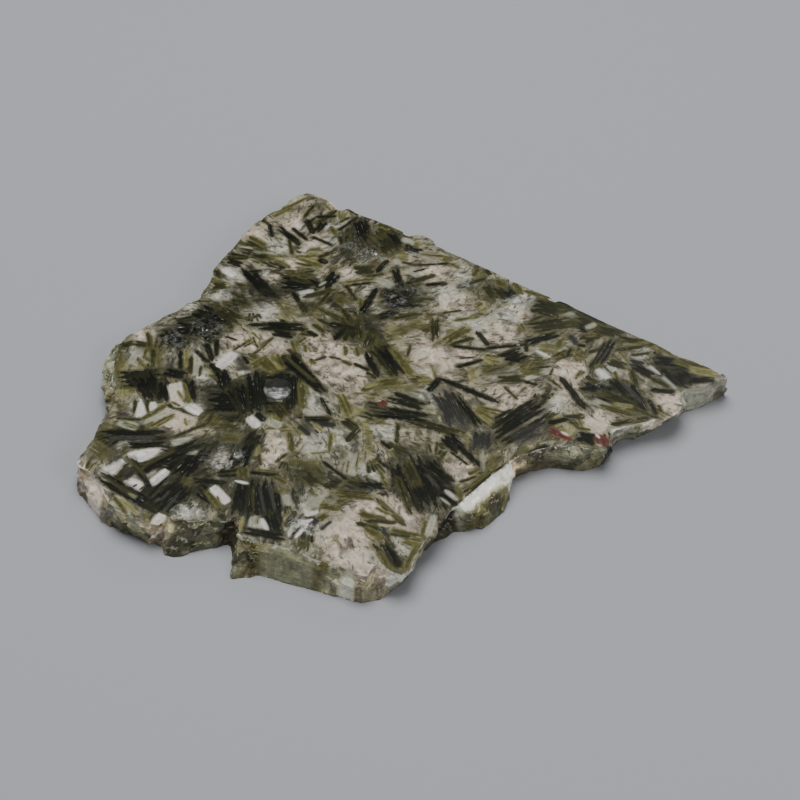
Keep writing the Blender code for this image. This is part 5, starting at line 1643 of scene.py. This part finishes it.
# %% Silver sheet in the pit
def pit_silver():
    """A torn sheet on the floor of the pit: silvery streaks in front, fading to grey specks behind."""
    material, tree, shader = start_material("torn_mica_in_the_pit")
    at = place_in_mm(tree)
    streaks_at = add(
        tree, "ShaderNodeMapping", {"Vector": at, "Scale": (2.0, 0.35, 1.0)}, vector_type="TEXTURE",
    )
    streaks = add(tree, "ShaderNodeTexNoise", {"Vector": streaks_at, "Scale": 1.0, "Detail": 3.0})
    specks = add(tree, "ShaderNodeTexNoise", {"Vector": at, "Scale": 2.4, "Detail": 3.0})
    back = add(tree, "ShaderNodeSeparateXYZ", {0: at}, out=None).outputs[1]
    border = add(tree, "ShaderNodeTexNoise", {"Vector": at, "Scale": 0.6, "Detail": 4.0})
    back = add(tree, "ShaderNodeMath", {0: border, 1: 6.0, 2: back}, operation="MULTIPLY_ADD")
    forward = add(
        tree, "ShaderNodeMapRange",
        {"Value": back, "From Min": PIT_MIDDLE.y + 5.0, "From Max": PIT_MIDDLE.y + 0.8},
        interpolation_type="SMOOTHSTEP",
    )
    from_middle = add(
        tree, "ShaderNodeVectorMath", {0: at, 1: (*PIT_MIDDLE, TOP)}, out=1, operation="DISTANCE",
    )
    from_middle = add(tree, "ShaderNodeMath", {0: border, 1: 2.5, 2: from_middle}, operation="MULTIPLY_ADD")
    within = add(
        tree, "ShaderNodeMapRange", {"Value": from_middle, "From Min": 5.7, "From Max": 4.2},
        interpolation_type="SMOOTHSTEP",
    )
    forward = add(tree, "ShaderNodeMath", {0: forward, 1: within}, operation="MULTIPLY")
    pattern = add(tree, "ShaderNodeMix", {0: forward, 2: specks, 3: streaks})
    silver = set_ramp(
        add(tree, "ShaderNodeValToRGB", {0: pattern}, out=None),
        ((0.34, "#3A3B36"), (0.46, "#85867D"), (0.55, "#C2C3BC"), (0.64, "#F8F8F4")),
    )
    colour = add(
        tree, "ShaderNodeMix",
        {FACTOR: forward, FIRST: linear("#1C1D18"), SECOND: silver}, MIXED, data_type="RGBA",
    )
    relief = add(tree, "ShaderNodeBump", {"Height": pattern, "Strength": 0.6, "Distance": 0.0004})
    tree.links.new(colour, shader.inputs["Base Color"])
    tree.links.new(relief, shader.inputs["Normal"])
    metal = add(tree, "ShaderNodeMath", {0: forward, 1: 0.35}, operation="MULTIPLY")
    tree.links.new(metal, shader.inputs["Metallic"])
    shader.inputs["Roughness"].default_value = 0.3
    shader.inputs["Specular IOR Level"].default_value = 0.15
    return material


# %% Dress the stone
for material in (polished_stone(), broken_stone(), sawn_stone(), pit_silver()):
    stone_mesh.materials.append(material)
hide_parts("slab")
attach(stone, "root")

# %% [markdown]
# ## Loose flakes
#
# Where mica is torn, small flakes stand up from the sheets and catch the light one by one. There
# are dozens of them, all of one kind, so Geometry Nodes scatters them: points on the surface,
# more where the attribute "flaky" is high, each with a small six-sided plate at its own tilt.

# %% How flaky the surface is
# In the pit, only the part in front of this line, in mm, holds loose flakes
PIT_SILVER_LINE = -8.0
IN_PIT, ON_WALL, WHERE_TORN = 0.5, 0.05, 0.8
# Lower on the wall than this, in mm, a flake could reach into the table
FOOT = 1.0


def mark_flaky(mesh):
    flaky = mesh.attributes.new("flaky", "FLOAT", "FACE")
    torn = mesh.attributes["plucked"].data
    amounts = []
    for face in mesh.polygons:
        centre = face.center / MM
        if in_pit(centre):
            amounts.append(IN_PIT if centre.y < PIT_SILVER_LINE else 0.0)
        elif face.material_index == BROKEN:
            amounts.append(ON_WALL if centre.z > FOOT else 0.0)
        else:
            amounts.append(WHERE_TORN * min(torn[v].value for v in face.vertices))
    flaky.data.foreach_set("value", amounts)


mark_flaky(stone_mesh)


# %% Node tree that scatters the flakes
def flake_scatter():
    tree = bpy.data.node_groups.new("scatter_mica_flakes", "GeometryNodeTree")
    declare(
        tree, "INPUT", ("Geometry", "Geometry"), ("Density", "Float"), ("Flake radius", "Float"),
        ("Seed", "Int"), ("Material", "Material"),
    )
    declare(tree, "OUTPUT", ("Geometry", "Geometry"))
    given = add(tree, "NodeGroupInput", out=None).outputs
    flaky = add(tree, "GeometryNodeInputNamedAttribute", {"Name": "flaky"}, data_type="FLOAT")
    density = add(tree, "ShaderNodeMath", {0: flaky, 1: given["Density"]}, operation="MULTIPLY")
    points = add(
        tree, "GeometryNodeDistributePointsOnFaces",
        {"Mesh": given["Geometry"], "Density": density, "Seed": given["Seed"]}, out=None,
    )
    tilt = add(
        tree, "FunctionNodeRandomValue",
        {0: (-0.5, -0.5, -3.14), 1: (0.5, 0.5, 3.14), "Seed": given["Seed"]}, data_type="FLOAT_VECTOR",
    )
    turned = add(
        tree, "FunctionNodeRotateRotation",
        {0: points.outputs["Rotation"], 1: tilt}, rotation_space="LOCAL",
    )
    plate = add(
        tree, "GeometryNodeMeshCylinder",
        {"Vertices": 6, "Radius": given["Flake radius"], "Depth": 0.00006},
    )
    size = add(
        tree, "FunctionNodeRandomValue",
        {0: (0.6, 0.2, 1.0), 1: (2.4, 0.8, 1.0), "Seed": given["Seed"]}, data_type="FLOAT_VECTOR",
    )
    placed = add(
        tree, "GeometryNodeInstanceOnPoints",
        {"Points": points.outputs["Points"], "Instance": plate, "Rotation": turned, "Scale": size},
    )
    real = add(tree, "GeometryNodeRealizeInstances", {0: placed})
    painted = add(tree, "GeometryNodeSetMaterial", {"Geometry": real, "Material": given["Material"]})
    add(tree, "NodeGroupOutput", {0: painted}, out=None)
    return tree


# %% Silvery mica
def silvery_mica():
    """Torn mica flakes, painted cell by cell at random from dark olive to silver: the silver is a painted
    reflection.
    """
    material, tree, shader = start_material("torn_silvery_mica")
    at = place_in_mm(tree)
    cell = add(tree, "ShaderNodeTexVoronoi", {"Vector": at, "Scale": 0.9}, out=None)
    parts = add(tree, "ShaderNodeSeparateXYZ", {0: cell.outputs["Color"]}, out=None)
    colour = set_ramp(
        add(tree, "ShaderNodeValToRGB", {0: parts.outputs[1]}, out=None),
        ((0.0, "#34352A"), (0.5, "#6A6B5A"), (0.85, "#A5A698"), (1.0, "#DADAD2")),
    )
    tree.links.new(colour, shader.inputs["Base Color"])
    shader.inputs["Roughness"].default_value = 0.24
    shader.inputs["Metallic"].default_value = 0.35
    return material


# %% Scatter the flakes
flakes_source = new_object("flakes_source", stone_mesh)
scatter = flakes_source.modifiers.new("flakes", "NODES")
scatter.node_group = flake_scatter()
wanted = {"Density": 0.1e6, "Flake radius": 0.00045, "Seed": FLAKE_SEED, "Material": silvery_mica()}
for item in scatter.node_group.interface.items_tree:
    if item.in_out == "INPUT" and item.name in wanted:
        scatter[item.identifier] = wanted[item.name]
ready = flakes_source.evaluated_get(bpy.context.evaluated_depsgraph_get())
flakes_mesh = bpy.data.meshes.new_from_object(ready)
flakes_mesh.name = "mica_flakes"
flakes_source.modifiers.remove(scatter)
bpy.data.objects.remove(flakes_source)
flakes = new_object("mica_flakes", flakes_mesh)
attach(flakes, "root")
print("faces of the flakes:", len(flakes_mesh.polygons))

# %% [markdown]
# ## Stage, light and camera
#
# The slab lies on plain grey paper under a large soft light, nearly overhead. A weak light fills
# the front, and a small panel behind lightens the black crystals at the back and right. The camera
# looks down at 45 degrees from the front.

# %% Floor
FLOOR_SIZE = 6.0
bpy.ops.mesh.primitive_plane_add(size=FLOOR_SIZE)
floor = bpy.context.object
floor.name = "floor"
paper, _, paper_shader = start_material("grey_paper")
paper_shader.inputs["Base Color"].default_value = linear("#ACADB2")
paper_shader.inputs["Roughness"].default_value = 0.9
floor.data.materials.append(paper)


# %% Lights
def soft_light(name, place, size, power):
    """A round area light that points at the middle of the slab."""
    lamp = bpy.data.lights.new(name, "AREA")
    lamp.shape = "DISK"
    lamp.size = size
    lamp.energy = power
    holder = new_object(name, lamp)
    holder.location = place
    holder.rotation_euler = (-Vector(place)).to_track_quat("-Z", "Y").to_euler()


soft_light("overhead_softbox", (-0.1, 0.26, 1.35), 1.1, 17.0)
soft_light("front_fill", (0.9, -0.8, 0.9), 0.7, 4.0)
soft_light("back_panel", (0.5, 1.5, 1.1), 0.6, 2.6)
world = bpy.data.worlds.new("studio")
world.use_nodes = True
world.node_tree.nodes["Background"].inputs["Color"].default_value = linear("#DDE0E4")
world.node_tree.nodes["Background"].inputs["Strength"].default_value = 0.24
bpy.context.scene.world = world

# %% Camera
CAMERA_HEIGHT_ANGLE = math.radians(45)
CAMERA_DISTANCE = 0.65
aim = (Vector((-2.0, -13.0)) - ROW_ORIGIN).to_3d() * MM + Vector((0.0, 0.0, slab_high.z))
away = Vector((0.0, -math.cos(CAMERA_HEIGHT_ANGLE), math.sin(CAMERA_HEIGHT_ANGLE)))
lens = bpy.data.cameras.new("camera")
lens.lens = 100.0
lens.sensor_width = 36.0
camera = new_object("camera", lens)
camera.location = aim + away * CAMERA_DISTANCE
camera.rotation_euler = (-away).to_track_quat("-Z", "Y").to_euler()
bpy.context.scene.camera = camera
